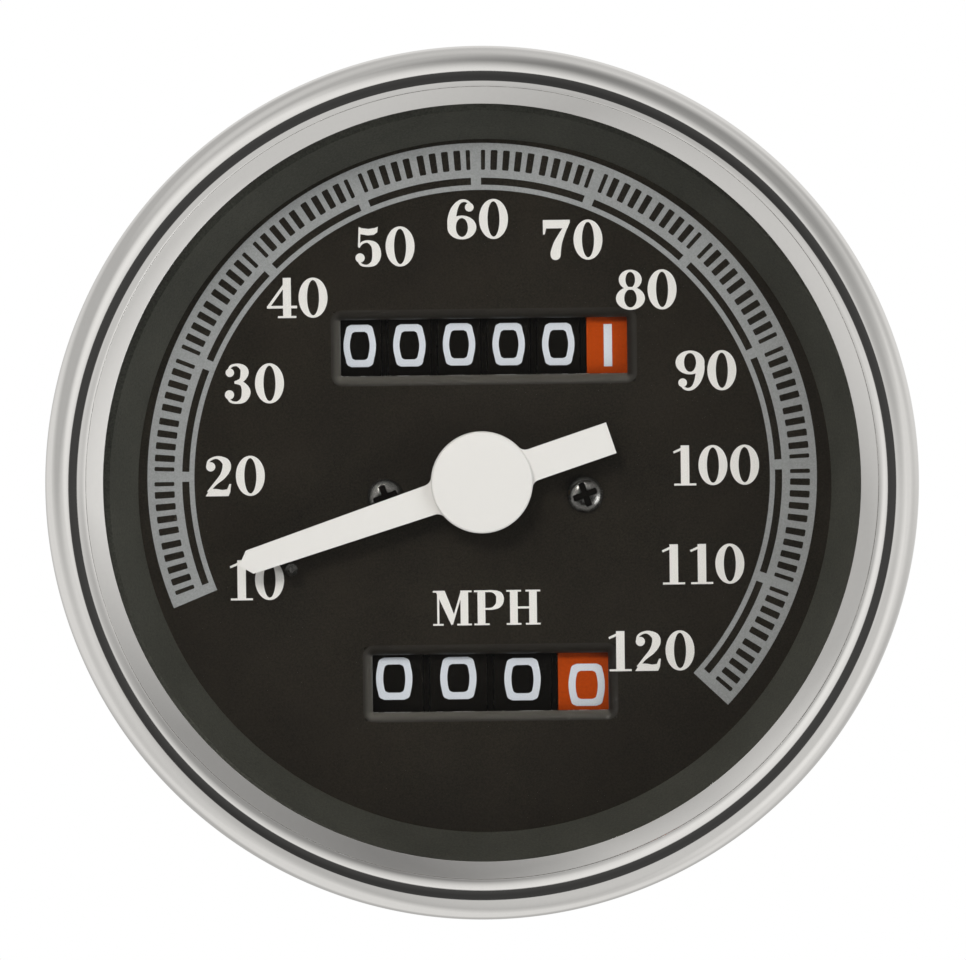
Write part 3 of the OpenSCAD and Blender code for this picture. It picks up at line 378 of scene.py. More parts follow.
film, given, result = shader_group(
    "dust and grease", [("Amount", FLOAT, 0.2), ("Scale", FLOAT, 60.0)], [("Mask", FLOAT)])
cloud = remap(film, noise(film, Scale=given["Scale"], Detail=6.0, Roughness=0.65), 0.45, 0.75)
fill(film, result, maths(film, "MULTIPLY", cloud, given["Amount"]))
print("shader groups:", [g.name for g in bpy.data.node_groups])

# %% [markdown]
# ## Materials
# Most pieces need the same recipe with other numbers: a colour, how shiny it is, whether it is metal, and
# how much each shared effect shows. A table holds the numbers and one function builds the materials. Glass
# and chrome follow on their own, because light passes the one and nearly all of the other is reflection.


# %% The material table
# slot: colour, metallic, roughness, grain scale, colour spread, relief, gloss spread, lines, dust, coat,
# reflection
RECIPES = {
    "black_paint": ((0.012, 0.012, 0.013), 0.0, 0.34, 1500, 0.25, 0.25, 0.05, 0.0, 0.25, 0.3, 0.50),
    "black_rubber": ((0.014, 0.014, 0.014), 0.0, 0.70, 2600, 0.30, 0.35, 0.08, 0.0, 0.35, 0.0, 0.50),
    "grey_green_paint": ((0.050, 0.050, 0.041), 0.0, 0.62, 4800, 0.90, 0.30, 0.06, 0.0, 0.20, 0.0, 0.20),
    "dial_black": ((0.0138, 0.0114, 0.0082), 0.0, 0.62, 5200, 1.20, 0.25, 0.08, 0.0, 0.08, 0.0, 0.08),
    "black_screw": ((0.200, 0.196, 0.188), 1.0, 0.20, 3500, 0.25, 0.06, 0.08, 0.0, 0.0, 0.0, 0.50),
    "white_paint": ((0.785, 0.765, 0.750), 0.0, 0.45, 4200, 0.015, 0.05, 0.05, 0.0, 0.10, 0.0, 0.40),
    "brass": ((0.62, 0.43, 0.17), 1.0, 0.30, 2500, 0.12, 0.05, 0.08, 0.35, 0.25, 0.0, 0.50),
    "steel": ((0.50, 0.50, 0.51), 1.0, 0.32, 2500, 0.10, 0.05, 0.10, 0.45, 0.20, 0.0, 0.50),
    "bare_aluminium": ((0.72, 0.73, 0.74), 1.0, 0.38, 2500, 0.06, 0.05, 0.08, 0.40, 0.15, 0.0, 0.50),
    "zinc_casting": ((0.42, 0.42, 0.41), 0.9, 0.55, 1800, 0.16, 0.40, 0.10, 0.10, 0.30, 0.0, 0.50),
    "magnet_iron": ((0.11, 0.11, 0.115), 0.7, 0.60, 2200, 0.25, 0.45, 0.10, 0.10, 0.20, 0.0, 0.50),
    "white_nylon": ((0.70, 0.68, 0.60), 0.0, 0.42, 1500, 0.05, 0.10, 0.06, 0.0, 0.15, 0.0, 0.50),
    "black_plastic": ((0.016, 0.016, 0.016), 0.0, 0.40, 2200, 0.25, 0.15, 0.08, 0.0, 0.30, 0.0, 0.50),
    "zinc_steel": ((0.55, 0.54, 0.50), 1.0, 0.34, 1600, 0.14, 0.10, 0.12, 0.25, 0.30, 0.0, 0.50),
    "orange_wheel": ((0.42, 0.052, 0.002), 0.0, 0.55, 4200, 0.22, 0.12, 0.06, 0.0, 0.05, 0.0, 0.05),
    # black_wheel is much darker than black_plastic: the wheels' own black plus painted shade, as they lie
    # deep behind the dial
    "black_wheel": ((0.0032, 0.0026, 0.0019), 0.0, 0.60, 4200, 1.20, 0.12, 0.06, 0.0, 0.05, 0.0, 0.03),
    "scale_ink": ((0.305, 0.312, 0.315), 0.0, 0.52, 5200, 0.28, 0.15, 0.05, 0.0, 0.06, 0.0, 0.15),
    "numeral_ink": ((0.81, 0.79, 0.765), 0.0, 0.50, 7000, 0.04, 0.12, 0.05, 0.0, 0.06, 0.0, 0.30),
    "drum_ink": ((0.66, 0.69, 0.75), 0.0, 0.50, 6000, 0.05, 0.12, 0.05, 0.0, 0.08, 0.0, 0.30),
}
DUST = (0.30, 0.28, 0.25, 1.0)
DUST_COVER, DUST_SCALE, LINE_SCALE = 0.10, 70.0, 2600.0
LINES_ALONG = (1.0, 0.06, 1.0)


def blank_material(slot):
    """A material without nodes, and its tree."""
    made = bpy.data.materials.new(slot)
    made.use_nodes = True
    made.node_tree.nodes.clear()
    return made, made.node_tree


def surface_material(slot, colour, metallic, rough, scale, spread, relief, gloss_spread, lines, dust, coat,
                     mirror):
    """The common recipe: grain on colour and gloss, tool lines in the relief, dust laid over the colour."""
    made, tree = blank_material(slot)
    base = group(tree, grain, Colour=(*colour, 1.0), Scale=float(scale), Spread=spread, Relief=relief,
                 Roughness=rough, Gloss_Spread=gloss_spread)
    normal = base["Normal"]
    if lines:
        normal = group(tree, turning, Stretch=LINES_ALONG, Scale=LINE_SCALE, Relief=lines,
                       Normal=normal)["Normal"]
    lying = group(tree, film, Amount=dust, Scale=DUST_SCALE)["Mask"]
    dusty = mix_colour(tree, maths(tree, "MULTIPLY", lying, DUST_COVER), base["Colour"], DUST)
    shader = node(tree, "BsdfPrincipled", Base_Color=dusty, Metallic=metallic, Roughness=base["Roughness"],
                  Normal=normal, Coat_Weight=coat, Coat_Roughness=0.18, Specular_IOR_Level=mirror)
    node(tree, "OutputMaterial", Surface=shader.outputs["BSDF"])
    return made


LOOKS = {slot: surface_material(slot, *numbers) for slot, numbers in RECIPES.items()}
print("surface materials:", len(LOOKS))

# %% [markdown]
# ## Glass and chrome
# Real glass throws hardly any shadow, but a path tracer would need very many paths to find the light behind
# it. So rays that only ask whether a lamp can be seen, and rays scattered by a matt surface, pass straight
# through. Chrome is a mirror with the faintest blur; what makes it look real is a little finger grease that
# dulls it unevenly.


# %% Glass and chrome
def glass_material(slot, tint, amount):
    """Principled glass for seeing, plain transparency for light that passes through."""
    made, tree = blank_material(slot)
    blur = remap(tree, group(tree, film, Amount=amount, Scale=45.0)["Mask"], 0.0, 1.0, 0.0, 0.10)
    clear = node(tree, "BsdfPrincipled", Base_Color=(*tint, 1.0), Roughness=blur, IOR=1.46,
                 Transmission_Weight=1.0)
    passing = node(tree, "BsdfTransparent", Color=(*tint, 1.0))
    path = node(tree, "LightPath").outputs
    unseen = maths(tree, "MAXIMUM", path["Is Shadow Ray"], path["Is Diffuse Ray"])
    mixed = mix_shader(tree, unseen, clear.outputs["BSDF"], passing.outputs["BSDF"])
    node(tree, "OutputMaterial", Surface=mixed)
    return made


def chrome_material():
    """A bright plate with fine polishing marks and a little grease."""
    made, tree = blank_material("chrome")
    plate = group(tree, grain, Colour=(0.90, 0.895, 0.88, 1.0), Scale=1800.0, Spread=0.02, Relief=0.02,
                  Roughness=0.045, Gloss_Spread=0.015)
    grease = group(tree, film, Amount=0.5, Scale=55.0)["Mask"]
    dulled = maths(tree, "MULTIPLY_ADD", grease, 0.07, plate["Roughness"])
    shader = node(tree, "BsdfPrincipled", Base_Color=plate["Colour"], Metallic=1.0, Roughness=dulled,
                  Normal=plate["Normal"])
    node(tree, "OutputMaterial", Surface=shader.outputs["BSDF"])
    return made


LOOKS["clear_glass"] = glass_material("clear_glass", (0.985, 0.99, 0.985), 0.10)
LOOKS["bulb_glass"] = glass_material("bulb_glass", (0.96, 0.95, 0.90), 0.15)
LOOKS["chrome"] = chrome_material()
print("materials in all:", len(LOOKS))

# %% [markdown]
# ## Dressing the solids
# Each solid gets the material that its slot in the record names, so nothing keeps a plain colour. The
# plates between the number wheels are as black as the wheels, because hardly any light reaches them.

# %% Materials on the solids
SLOT_OF = {entry["node"]: entry["material_slot"] for entry in frame["record"]["subparts"]}
AMONG_WHEELS = ("odometer_carriers", "trip_carriers")
for name, solid in nodes.items():
    solid.data.materials.clear()
    solid.data.materials.append(LOOKS["black_wheel" if name in AMONG_WHEELS else SLOT_OF[name]])
print("slots on the solids:", sorted(set(SLOT_OF.values())))

# %% [markdown]
# ## The spun bezel
# A bezel is spun from sheet over a former, so its section is one smooth line. The solid draws that line
# with a few straight steps, which is right for its size but would show as bands in a mirror. The skin
# follows the same line with true curves. From the glass outwards it has a sloping lip, a fine seam, a short
# wall and a broad crest.


# %% Bezel skin
CREST_IN, SEAM_IN, SEAM_RISE, SEAM_WALL, WALL_DEG = 2.65, 4.05, 1.15, 0.06, 150
CREST_INSIDE, CREST_OUTSIDE, FOOT_ROLL, LIP_ROLL, LIP_RISE = 0.75, 2.7, 0.8, 0.10, 0.05
FOOT_IN, STEP_IN, STEP_DROP = 4.6, 3.4, 0.5


def bezel_profile():
    """(radius, level) points of the bezel's section, from the lip over the crest to the rolled foot."""
    outer, crest, foot, lip = reach("bezel"), front("bezel"), back("bezel"), bore("bezel")
    top, seam = outer - CREST_IN, outer - SEAM_IN
    inside_r = (top - seam - SEAM_WALL) / -math.cos(math.radians(WALL_DEG))
    return np.vstack([
        [(lip, GLASS_TOP + LIP_RISE)],
        arc((lip + LIP_ROLL, GLASS_TOP + 2 * LIP_ROLL), LIP_ROLL, 180, 120, 6),
        [(seam, GLASS_TOP + SEAM_RISE)],
        arc((top, crest - CREST_INSIDE), (inside_r, CREST_INSIDE), WALL_DEG, 90, 30),
        arc((top, crest - CREST_OUTSIDE), (outer - top, CREST_OUTSIDE), 89, 0, 44),
        arc((outer - FOOT_ROLL, foot + FOOT_ROLL), FOOT_ROLL, 0, -90, 12),
        [(lip + FOOT_IN, foot), (lip + FOOT_IN, GLASS_TOP - STEP_DROP),
         (lip + STEP_IN, GLASS_TOP + LIP_RISE)]])


bezel_skin = keep_piece("bezel_skin", turned(bezel_profile()[::-1], steps=720), "chrome", crisp=50)
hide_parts("bezel")
print("bezel skin faces:", len(bezel_skin.data.polygons))

# %% [markdown]
# ## Drawing with a pen of changing width
# Dial numerals of this age have thick sides, hairline tops and round drops at the ends of their strokes. A
# pen line whose width changes along the way gives all of that. A glyph is a handful of such ribbons, rings,
# drops and bars, and the flat fill merges them into one outline. Heights are 1 from the foot to the top of
# a numeral.


# %% Pen strokes
def smooth_line(points, count=10):
    """A smooth line through rows of points: each span is a cubic that leaves along its neighbours' chord."""
    p = np.asarray(points, dtype=float)
    p = np.vstack([2 * p[0] - p[1], p, 2 * p[-1] - p[-2]])
    t = np.linspace(0, 1, count, endpoint=False)[:, None]
    spans = [0.5 * (2 * b + (c - a) * t + (2 * a - 5 * b + 4 * c - d) * t**2
                    + (3 * b - a - 3 * c + d) * t**3)
             for a, b, c, d in zip(p[:-3], p[1:-2], p[2:-1], p[3:])]
    return np.vstack(spans + [p[-2:-1]])


def ribbon(*points):
    """The outline of a pen line through (x, y, width) points."""
    line = smooth_line(points) if len(points) > 2 else np.asarray(points, dtype=float)
    step = np.gradient(line[:, :2], axis=0)
    across = np.stack([-step[:, 1], step[:, 0]], axis=-1) / np.linalg.norm(step, axis=1)[:, None]
    half = across * line[:, 2:3] / 2
    return [np.vstack([line[:, :2] + half, (line[:, :2] - half)[::-1]])]


def hoop(centre, outside, inside):
    """An oval ring as a left and a right half, so that its hole stays open when outlines are merged."""
    return [np.vstack([arc(centre, outside, s, s + 180), arc(centre, inside, s + 180, s)])
            for s in (-90, 90)]


def drop(x, y, r):
    """A round ball at the end of a stroke."""
    return [arc((x, y), r, 0, 345, 24)]


def shape(*points):
    """A straight-sided outline."""
    return [np.array(points, dtype=float)]


def bar(x0, y0, x1, y1):
    """An upright rectangle."""
    return shape((x0, y0), (x1, y0), (x1, y1), (x0, y1))


def half_turn(outlines, centre):
    """The same outlines turned upside down about a point."""
    return [2 * np.asarray(centre) - o for o in outlines]


# %% Numerals and letters
SERIF = 0.05
SIX = (hoop((0.36, 0.297), (0.36, 0.297), (0.15, 0.235)) + drop(0.55, 0.80, 0.108)
       + ribbon((0.105, 0.29, 0.20), (0.11, 0.50, 0.21), (0.17, 0.74, 0.17), (0.28, 0.91, 0.10),
                (0.40, 0.965, 0.07), (0.52, 0.93, 0.06), (0.60, 0.83, 0.05)))
LOWER_BOWL = ((0.565, 0.30, 0.22), (0.50, 0.11, 0.16), (0.34, 0.03, 0.06), (0.18, 0.06, 0.06),
              (0.09, 0.19, 0.05))
LOWER_DROP = drop(0.15, 0.225, 0.115)
GLYPHS = {
    "0": hoop((0.36, 0.5), (0.36, 0.5), (0.15, 0.44)),
    "1": bar(0.26, 0.0, 0.47, 1.0) + bar(0.09, 0.0, 0.64, SERIF)
         + shape((0.09, 0.80), (0.28, 0.88), (0.40, 1.0), (0.07, 0.85)),
    "2": ribbon((0.07, 0.72, 0.05), (0.13, 0.89, 0.06), (0.33, 0.965, 0.07), (0.53, 0.86, 0.18),
                (0.56, 0.70, 0.21), (0.46, 0.50, 0.15), (0.27, 0.31, 0.08), (0.09, 0.10, 0.06))
         + drop(0.165, 0.735, 0.115)
         + shape((0.03, 0.0), (0.10, 0.11), (0.20, 0.185), (0.32, 0.18), (0.45, 0.155), (0.57, 0.17),
                 (0.625, 0.30), (0.67, 0.30), (0.645, 0.10), (0.60, 0.0)),
    "3": ribbon((0.11, 0.78, 0.05), (0.19, 0.93, 0.06), (0.35, 0.967, 0.07), (0.50, 0.88, 0.17),
                (0.53, 0.75, 0.20), (0.45, 0.59, 0.12), (0.28, 0.53, 0.05))
         + drop(0.165, 0.775, 0.105) + LOWER_DROP
         + ribbon((0.28, 0.53, 0.05), (0.47, 0.49, 0.12), *LOWER_BOWL),
    "4": bar(0.40, 0.0, 0.60, 1.0) + bar(0.27, 0.0, 0.73, SERIF) + bar(0.0, 0.24, 0.75, 0.305)
         + ribbon((0.03, 0.27, 0.07), (0.56, 0.99, 0.07)),
    "5": shape((0.12, 1.0), (0.20, 0.965), (0.36, 0.945), (0.52, 0.965), (0.60, 1.0), (0.585, 0.86),
               (0.50, 0.80), (0.36, 0.785), (0.15, 0.82)) + ribbon((0.145, 0.97, 0.05), (0.125, 0.50, 0.05))
         + ribbon((0.115, 0.49, 0.05), (0.21, 0.60, 0.06), (0.36, 0.63, 0.07), (0.52, 0.52, 0.18),
                  *LOWER_BOWL) + LOWER_DROP,
    "6": SIX,
    "7": shape((0.03, 1.0), (0.70, 1.0), (0.70, 0.93), (0.64, 0.79), (0.11, 0.79), (0.075, 0.64),
               (0.03, 0.64))
         + ribbon((0.665, 0.95, 0.07), (0.52, 0.68, 0.13), (0.40, 0.42, 0.20), (0.345, 0.20, 0.25),
                  (0.34, 0.125, 0.25)) + drop(0.34, 0.125, 0.125),
    "8": hoop((0.36, 0.75), (0.285, 0.25), (0.12, 0.195))
         + hoop((0.36, 0.285), (0.36, 0.285), (0.155, 0.225)),
    "9": half_turn(SIX, (0.36, 0.5)),
    "M": bar(0.13, 0.0, 0.19, 1.0) + bar(0.80, 0.0, 1.02, 1.0)
         + shape((0.08, 1.0), (0.35, 1.0), (0.63, 0.27), (0.54, 0.0))
         + ribbon((0.55, 0.03, 0.06), (0.84, 0.98, 0.06)) + bar(0.01, 0.0, 0.31, SERIF)
         + bar(0.70, 0.0, 1.12, SERIF) + bar(0.01, 0.95, 0.25, 1.0) + bar(0.82, 0.95, 1.12, 1.0),
    "P": bar(0.12, 0.0, 0.34, 1.0) + bar(0.02, 0.0, 0.46, SERIF) + bar(0.02, 0.95, 0.40, 1.0)
         + ribbon((0.32, 0.975, 0.05), (0.56, 0.965, 0.07), (0.73, 0.87, 0.19), (0.765, 0.72, 0.22),
                  (0.71, 0.57, 0.17), (0.54, 0.475, 0.07), (0.32, 0.465, 0.05)),
    "H": bar(0.11, 0.0, 0.33, 1.0) + bar(0.66, 0.0, 0.88, 1.0) + bar(0.30, 0.465, 0.70, 0.525)
         + sum([bar(x, y, x + 0.42, y + SERIF) for x in (0.01, 0.56) for y in (0.0, 1.0 - SERIF)], []),
}
ADVANCE, OTHER_ADVANCE, LAST_SPACE = {"1": 0.70, "M": 1.17, "P": 0.94, "H": 1.0}, 0.79, 0.06
print("glyphs:", "".join(GLYPHS))


def word(text, height, centre):
    """Outlines of a few glyphs in a row, centred on a point; height is in millimetres."""
    widths = [ADVANCE.get(letter, OTHER_ADVANCE) for letter in text]
    starts = np.cumsum([0.0] + widths[:-1])
    shift = np.array([-(sum(widths) - LAST_SPACE) / 2, -0.5])
    return [(o + shift + (x, 0.0)) * height + centre
            for letter, x in zip(text, starts) for o in GLYPHS[letter]]


# %% [markdown]
# ## The printed scale
# The scale is one light band with dark bars left open in it, twelve marks and eleven divisions. Inside it
# runs a second, narrow dark band that the marks interrupt. The band is an outline, the bars are holes, and
# the printed film is a few hundredths of a millimetre thick, so it catches light at its edges as real ink
# does.


# %% Scale, numerals and unit
SCALE_CENTRE = np.array([0.07, 0.44])
SCALE_OUTER, BARS_OUTER, BARS_INNER = 33.03, 32.35, 30.38
RAIL_OUTER, RAIL_INNER, SCALE_INNER = 29.60, 28.90, 28.40
FIRST_MARK, MARK_STEP, MARKS = 201.3, -22.16, 12
MARK_WIDTH, BAR_WIDTH, END_BAR_WIDTH, MIDDLE_GAP, BARS = 1.94, 1.20, 0.75, 1.30, 10
BAR_CORNER, CORNER_SHARE, ARC_STEP = 0.12, 0.45, 0.6
NUMERAL_HEIGHT, UNIT_HEIGHT, INK, INK_SUNK = 3.96, 3.44, 0.03, 0.01
NUMERAL_AT = {10: (-22.4, -9.4), 20: (-24.35, 0.9), 30: (-22.35, 10.0), 40: (-17.95, 18.4),
              50: (-9.3, 23.35), 60: (-0.05, 25.95), 70: (9.25, 23.8), 80: (16.5, 18.8),
              90: (22.3, 10.75), 100: (23.05, 1.4), 110: (21.65, -8.35), 120: (16.45, -16.85)}
UNIT_AT = (0.27, -12.4)


def sector(r_in, r_out, start, end):
    """Outline of a piece of a ring between two angles in degrees."""
    count = max(2, int(abs(end - start) / ARC_STEP) + 1)
    outer, inner = arc((0, 0), r_out, start, end, count), arc((0, 0), r_in, end, start, count)
    return np.vstack([outer, inner]) + SCALE_CENTRE


def rounded_bar(r_in, r_out, start, end):
    """Outline of a short bar across a ring: a quarter circle set in from each corner."""
    corner = min(BAR_CORNER, CORNER_SHARE * r_in * math.radians(end - start))
    quarter_turn = np.radians(np.linspace(0, 90, 5))
    points = []
    for r, a, inward, along, first in ((r_out, end, -1, -1, 0), (r_in, end, 1, -1, 90),
                                       (r_in, start, 1, 1, 180), (r_out, start, -1, 1, 270)):
        t = quarter_turn + math.radians(first)
        rr, aa = r + corner * (inward + np.cos(t)), math.radians(a) + corner / r * (along + np.sin(t))
        points.append(np.stack([rr * np.cos(aa), rr * np.sin(aa)], axis=-1))
    return np.vstack(points) + SCALE_CENTRE


def division_bars(mark):
    """(start, end) angles of the dark bars that follow a mark; the two middle ones stand wider apart."""
    widths = np.array([END_BAR_WIDTH] + [BAR_WIDTH] * (BARS - 2) + [END_BAR_WIDTH])
    room = abs(MARK_STEP) - MARK_WIDTH - widths.sum() - MIDDLE_GAP
    gaps = np.full(BARS - 1, room / (BARS - 2))
    gaps[len(gaps) // 2] = MIDDLE_GAP
    starts = MARK_WIDTH / 2 + np.concatenate([[0.0], np.cumsum(widths[:-1] + gaps)])
    return [(mark - s, mark - s - w) for s, w in zip(starts, widths)]


marks = FIRST_MARK + MARK_STEP * np.arange(MARKS)
holes = []
for mark in marks[:-1]:
    holes += [rounded_bar(BARS_INNER, BARS_OUTER, b, a) for a, b in division_bars(mark)]
    holes.append(sector(RAIL_INNER, RAIL_OUTER, mark + MARK_STEP + MARK_WIDTH / 2, mark - MARK_WIDTH / 2))
band = [sector(SCALE_INNER, SCALE_OUTER, marks[-1] - MARK_WIDTH / 2, marks[0] + MARK_WIDTH / 2)]
on_dial = lift_from(DIAL_FACE, INK_SUNK)
keep_piece("scale_print", ink_film(*flat_fill(band, holes), INK, on_dial), "scale_ink")
figures = sum([word(str(n), NUMERAL_HEIGHT, at) for n, at in NUMERAL_AT.items()], [])
figures += word("MPH", UNIT_HEIGHT, UNIT_AT)
keep_piece("numeral_print", ink_film(*flat_fill(figures), INK, on_dial), "numeral_ink")
print("bars in the scale:", len(holes), "figures:", len(figures))

# %% [markdown]
# ## Digits on the drums
# Each wheel carries ten digits, one every 36 degrees. They are drawn flat with a pen of nearly one width and
# then wrapped round the wheel: the height on paper becomes an angle. The wheels turn downwards at the front,
# so the next digit stands above. A wheel that has just been passed on stops a little off its place, as the
# last trip wheel here does.


# %% Drum digits
DRUM_PEN, SIDE_PEN, DRUM_W, DRUM_H = 0.70, 0.62, 3.2, 4.2
DRUM_STRIP, DRUM_SUNK, DIGIT_STEP = 0.35, 0.02, math.radians(36)


def pen(*points):
    """A line of the drum's pen width through (x, y) points."""
    return ribbon(*[(x, y, DRUM_PEN) for x, y in points])


def barrel(half_w, half_h, flat, corner, shoulder):
    """A loop with a flat top and foot and bulging sides; the last three are parts of half the width."""
    side = [(flat, 1.0), (corner, 0.88), (shoulder, 0.60), (1.0 - 0.27 * (1.0 - shoulder), 0.30), (1.0, 0.0)]
    right = smooth_line(side + [(x, -y) for x, y in side[-2::-1]], 6)
    return np.vstack([right, -right]) * (half_w, half_h)


DRUM_SIX = (hoop((0.0, -0.75), (1.6, 1.35), (0.9, 0.65))
            + pen((1.05, 1.62), (0.1, 1.68), (-0.85, 0.95), (-1.25, -0.6)))
DRUM_TAIL = ((1.22, -0.75), (0.75, -1.6), (-0.3, -1.74), (-1.2, -1.2))
DRUM_GLYPHS = {
    1: bar(-0.41, -DRUM_H / 2, 0.41, DRUM_H / 2),
    2: pen((-1.2, 1.0), (-0.8, 1.62), (0.1, 1.75), (1.05, 1.45), (1.1, 0.6), (0.1, -0.5), (-1.15, -1.75))
       + bar(-1.5, -2.1, 1.55, -1.4),
    3: pen((-1.15, 1.25), (-0.5, 1.72), (0.35, 1.72), (1.1, 1.2), (0.9, 0.4), (0.0, 0.15))
       + pen((0.0, 0.15), (0.95, -0.1), *DRUM_TAIL),
    4: bar(0.2, -2.1, 0.9, 2.1) + bar(-1.6, -1.0, 1.6, -0.3) + pen((-1.3, -0.6), (0.5, 1.85)),
    5: bar(-1.2, 1.4, 1.4, 2.1) + pen((-0.85, 2.0), (-1.05, 0.2))
       + pen((-1.05, 0.15), (-0.1, 0.6), (0.95, 0.2), *DRUM_TAIL),
    6: DRUM_SIX,
    7: bar(-1.6, 1.4, 1.6, 2.1) + pen((1.25, 1.8), (-0.4, -2.0)),
    8: hoop((0.0, 1.0), (1.4, 1.1), (0.7, 0.4)) + hoop((0.0, -0.8), (1.6, 1.3), (0.9, 0.6)),
    9: half_turn(DRUM_SIX, (0.0, 0.0)),
}
# flat, corner and shoulder of the nought, outside and inside: the trip counter's noughts are squarer
NOUGHTS = {"odometer": ((0.53, 0.78, 0.88), (0.48, 0.76, 0.88)),
           "trip": ((0.55, 0.81, 0.91), (0.52, 0.80, 0.92))}


def digit_fill(counter, digit):
    """One digit of a counter as flat points and triangles; the nought is a loop with a hole."""
    if digit:
        return flat_fill(DRUM_GLYPHS[digit], (), DRUM_STRIP)
    outside, inside = NOUGHTS[counter]
    hole = barrel(DRUM_W / 2 - SIDE_PEN, DRUM_H / 2 - DRUM_PEN, *inside)
    return flat_fill([barrel(DRUM_W / 2, DRUM_H / 2, *outside)], [hole], DRUM_STRIP)


def drum_film(counter, wheel, shown, widen, settle):
    """The ten digits of one wheel as a film on its rim, with one of them at the front."""
    u, v = middle(wheel)
    radius, axis = (front(wheel) - back(wheel)) / 2, (front(wheel) + back(wheel)) / 2
    verts, faces, count = [], [], 0
    for digit in range(10):
        flat, tris = digit_fill(counter, digit)
        turn = DIGIT_STEP * ((digit - shown) % 10)
        verts.append(np.column_stack([flat[:, 0] * widen, flat[:, 1] / radius + turn + settle / radius]))
        faces.append(tris + count)
        count += len(flat)

    def on_rim(points, height):
        """A lift round the drum: the first coordinate runs along its axis, the second is an angle."""
        r = radius + (height if height else -DRUM_SUNK)
        return place(u + points[:, 0], v + r * np.sin(points[:, 1]), axis + r * np.cos(points[:, 1]))

    return ink_film(np.vstack(verts), np.vstack(faces), INK, on_rim)


# counter, digits shown, widening, and how far each digit stands above the middle of its window
READINGS = [("odometer", [0, 0, 0, 0, 0, 1], 1.0, [0.23, 0.23, 0.27, 0.23, 0.18, 0.0]),
            ("trip", [0, 0, 0, 0], 1.12, [0.50, 0.48, 0.29, -0.36])]
for counter, digits, widen, settle in READINGS:
    for i, shown in enumerate(digits):
        wheel = f"{counter}_wheel_{i + 1}"
        keep_piece(wheel + "_digits", drum_film(counter, wheel, shown, widen, settle[i]), "drum_ink",
                   body=f"{counter}_{i + 1}_body")
print("drums with digits:", sum(len(r[1]) for r in READINGS))

# %% [markdown]
# ## Pressed window edges
# The windows are pressed into the dial, so their edges roll inwards instead of being cut. The roll is an
# oval quarter swept round a rectangle with small corners, painted lighter where it faces up or right:
# painted light from above and from the right. Where the die has rubbed, along the lower edge, bare metal
# shows in
# flecks: a fine bead whose colour a noise pattern picks between paint and metal, only where it faces up or
# right, so its bright flecks are partly wear and partly painted highlight.


# %% Window edges
WINDOWS = {"mileage": (0.4, 13.35, 28.3, 5.6), "trip": (0.65, -19.8, 23.3, 5.7)}
ROLL, CORNER, CORNER_POINTS = 0.95, 0.15, 9
ROLL_OVER, ROLL_UP, ROLL_FOOT, ROLL_HIDE, ROLL_COVER = 0.02, 0.012, 0.10, 0.04, 0.06
BEAD_R, BEAD_DEPTH, BEAD_SIDES, BEAD_SKIP, BEAD_STEPS = 0.045, 0.93, 8, 2, 60
# noise of the rubbed flecks, and the direction a surface must face to be painted lighter: painted light
WEAR_SCALE, WEAR_SOFT, LIT_SIDE = 900.0, 0.08, (0.6, 0.0, 0.8)


def rim_path(u, v, w, h, offset):
    """Points round a rectangle with rounded corners, moved outwards by an offset; one row per offset."""
    n = CORNER_POINTS
    a = np.radians(np.concatenate([np.linspace(q, q + 90, n) for q in (0, 90, 180, 270)]))
    sx, sy = np.repeat([1, -1, -1, 1], n), np.repeat([1, 1, -1, -1], n)
    r = np.asarray(offset, dtype=float)[:, None] + CORNER
    return u + sx * (w / 2 - CORNER) + r * np.cos(a), v + sy * (h / 2 - CORNER) + r * np.sin(a)


def window_rim(window):
    """The rolled edge of one window, closed inside the dial."""
    roll = arc((ROLL, -ROLL), (ROLL + ROLL_OVER, ROLL + ROLL_UP), 180, 90, 16)
    loop = np.vstack([roll, [(ROLL, -ROLL_COVER), (ROLL_FOOT, -ROLL - ROLL_HIDE)]])
    x, y = rim_path(*window, loop[:, 0])
    return mesh_from_arrays(place(x, y, DIAL_FACE + loop[:, 1:2]), grid_faces(*x.shape, True, True)[:, ::-1])


def worn_bead(window):
    """A fine bead along the lower inner edge of a window, drawn in to a point at both ends.

    It starts and ends a few points round the lower corners, with many steps on the straight between them.
    """
    x, y = rim_path(*window, [0.0])
    lower = np.stack([x[0], y[0]], axis=-1)[2 * CORNER_POINTS + BEAD_SKIP:4 * CORNER_POINTS - BEAD_SKIP]
    counts = np.full(len(lower) - 1, 2)
    counts[len(counts) // 2] = BEAD_STEPS
    spans = zip(lower[:-1], lower[1:], counts)
    path = np.vstack([np.linspace(start, end, count, endpoint=False) for start, end, count in spans])
    step = np.gradient(path, axis=0)
    side = np.stack([step[:, 1], -step[:, 0]], axis=-1) / np.linalg.norm(step, axis=1)[:, None]
    a = full_turn(BEAD_SIDES)[:, 0]
    thick = np.full((len(path), 1), BEAD_R)
    thick[[0, -1]] = 0.0
    flat = path[:, None, :] + (thick * np.cos(a))[..., None] * side[:, None, :]
    verts = place(flat[..., 0], flat[..., 1], DIAL_FACE - BEAD_DEPTH + thick * np.sin(a))
    return mesh_from_arrays(verts, grid_faces(len(path), BEAD_SIDES, False, True)[:, ::-1])


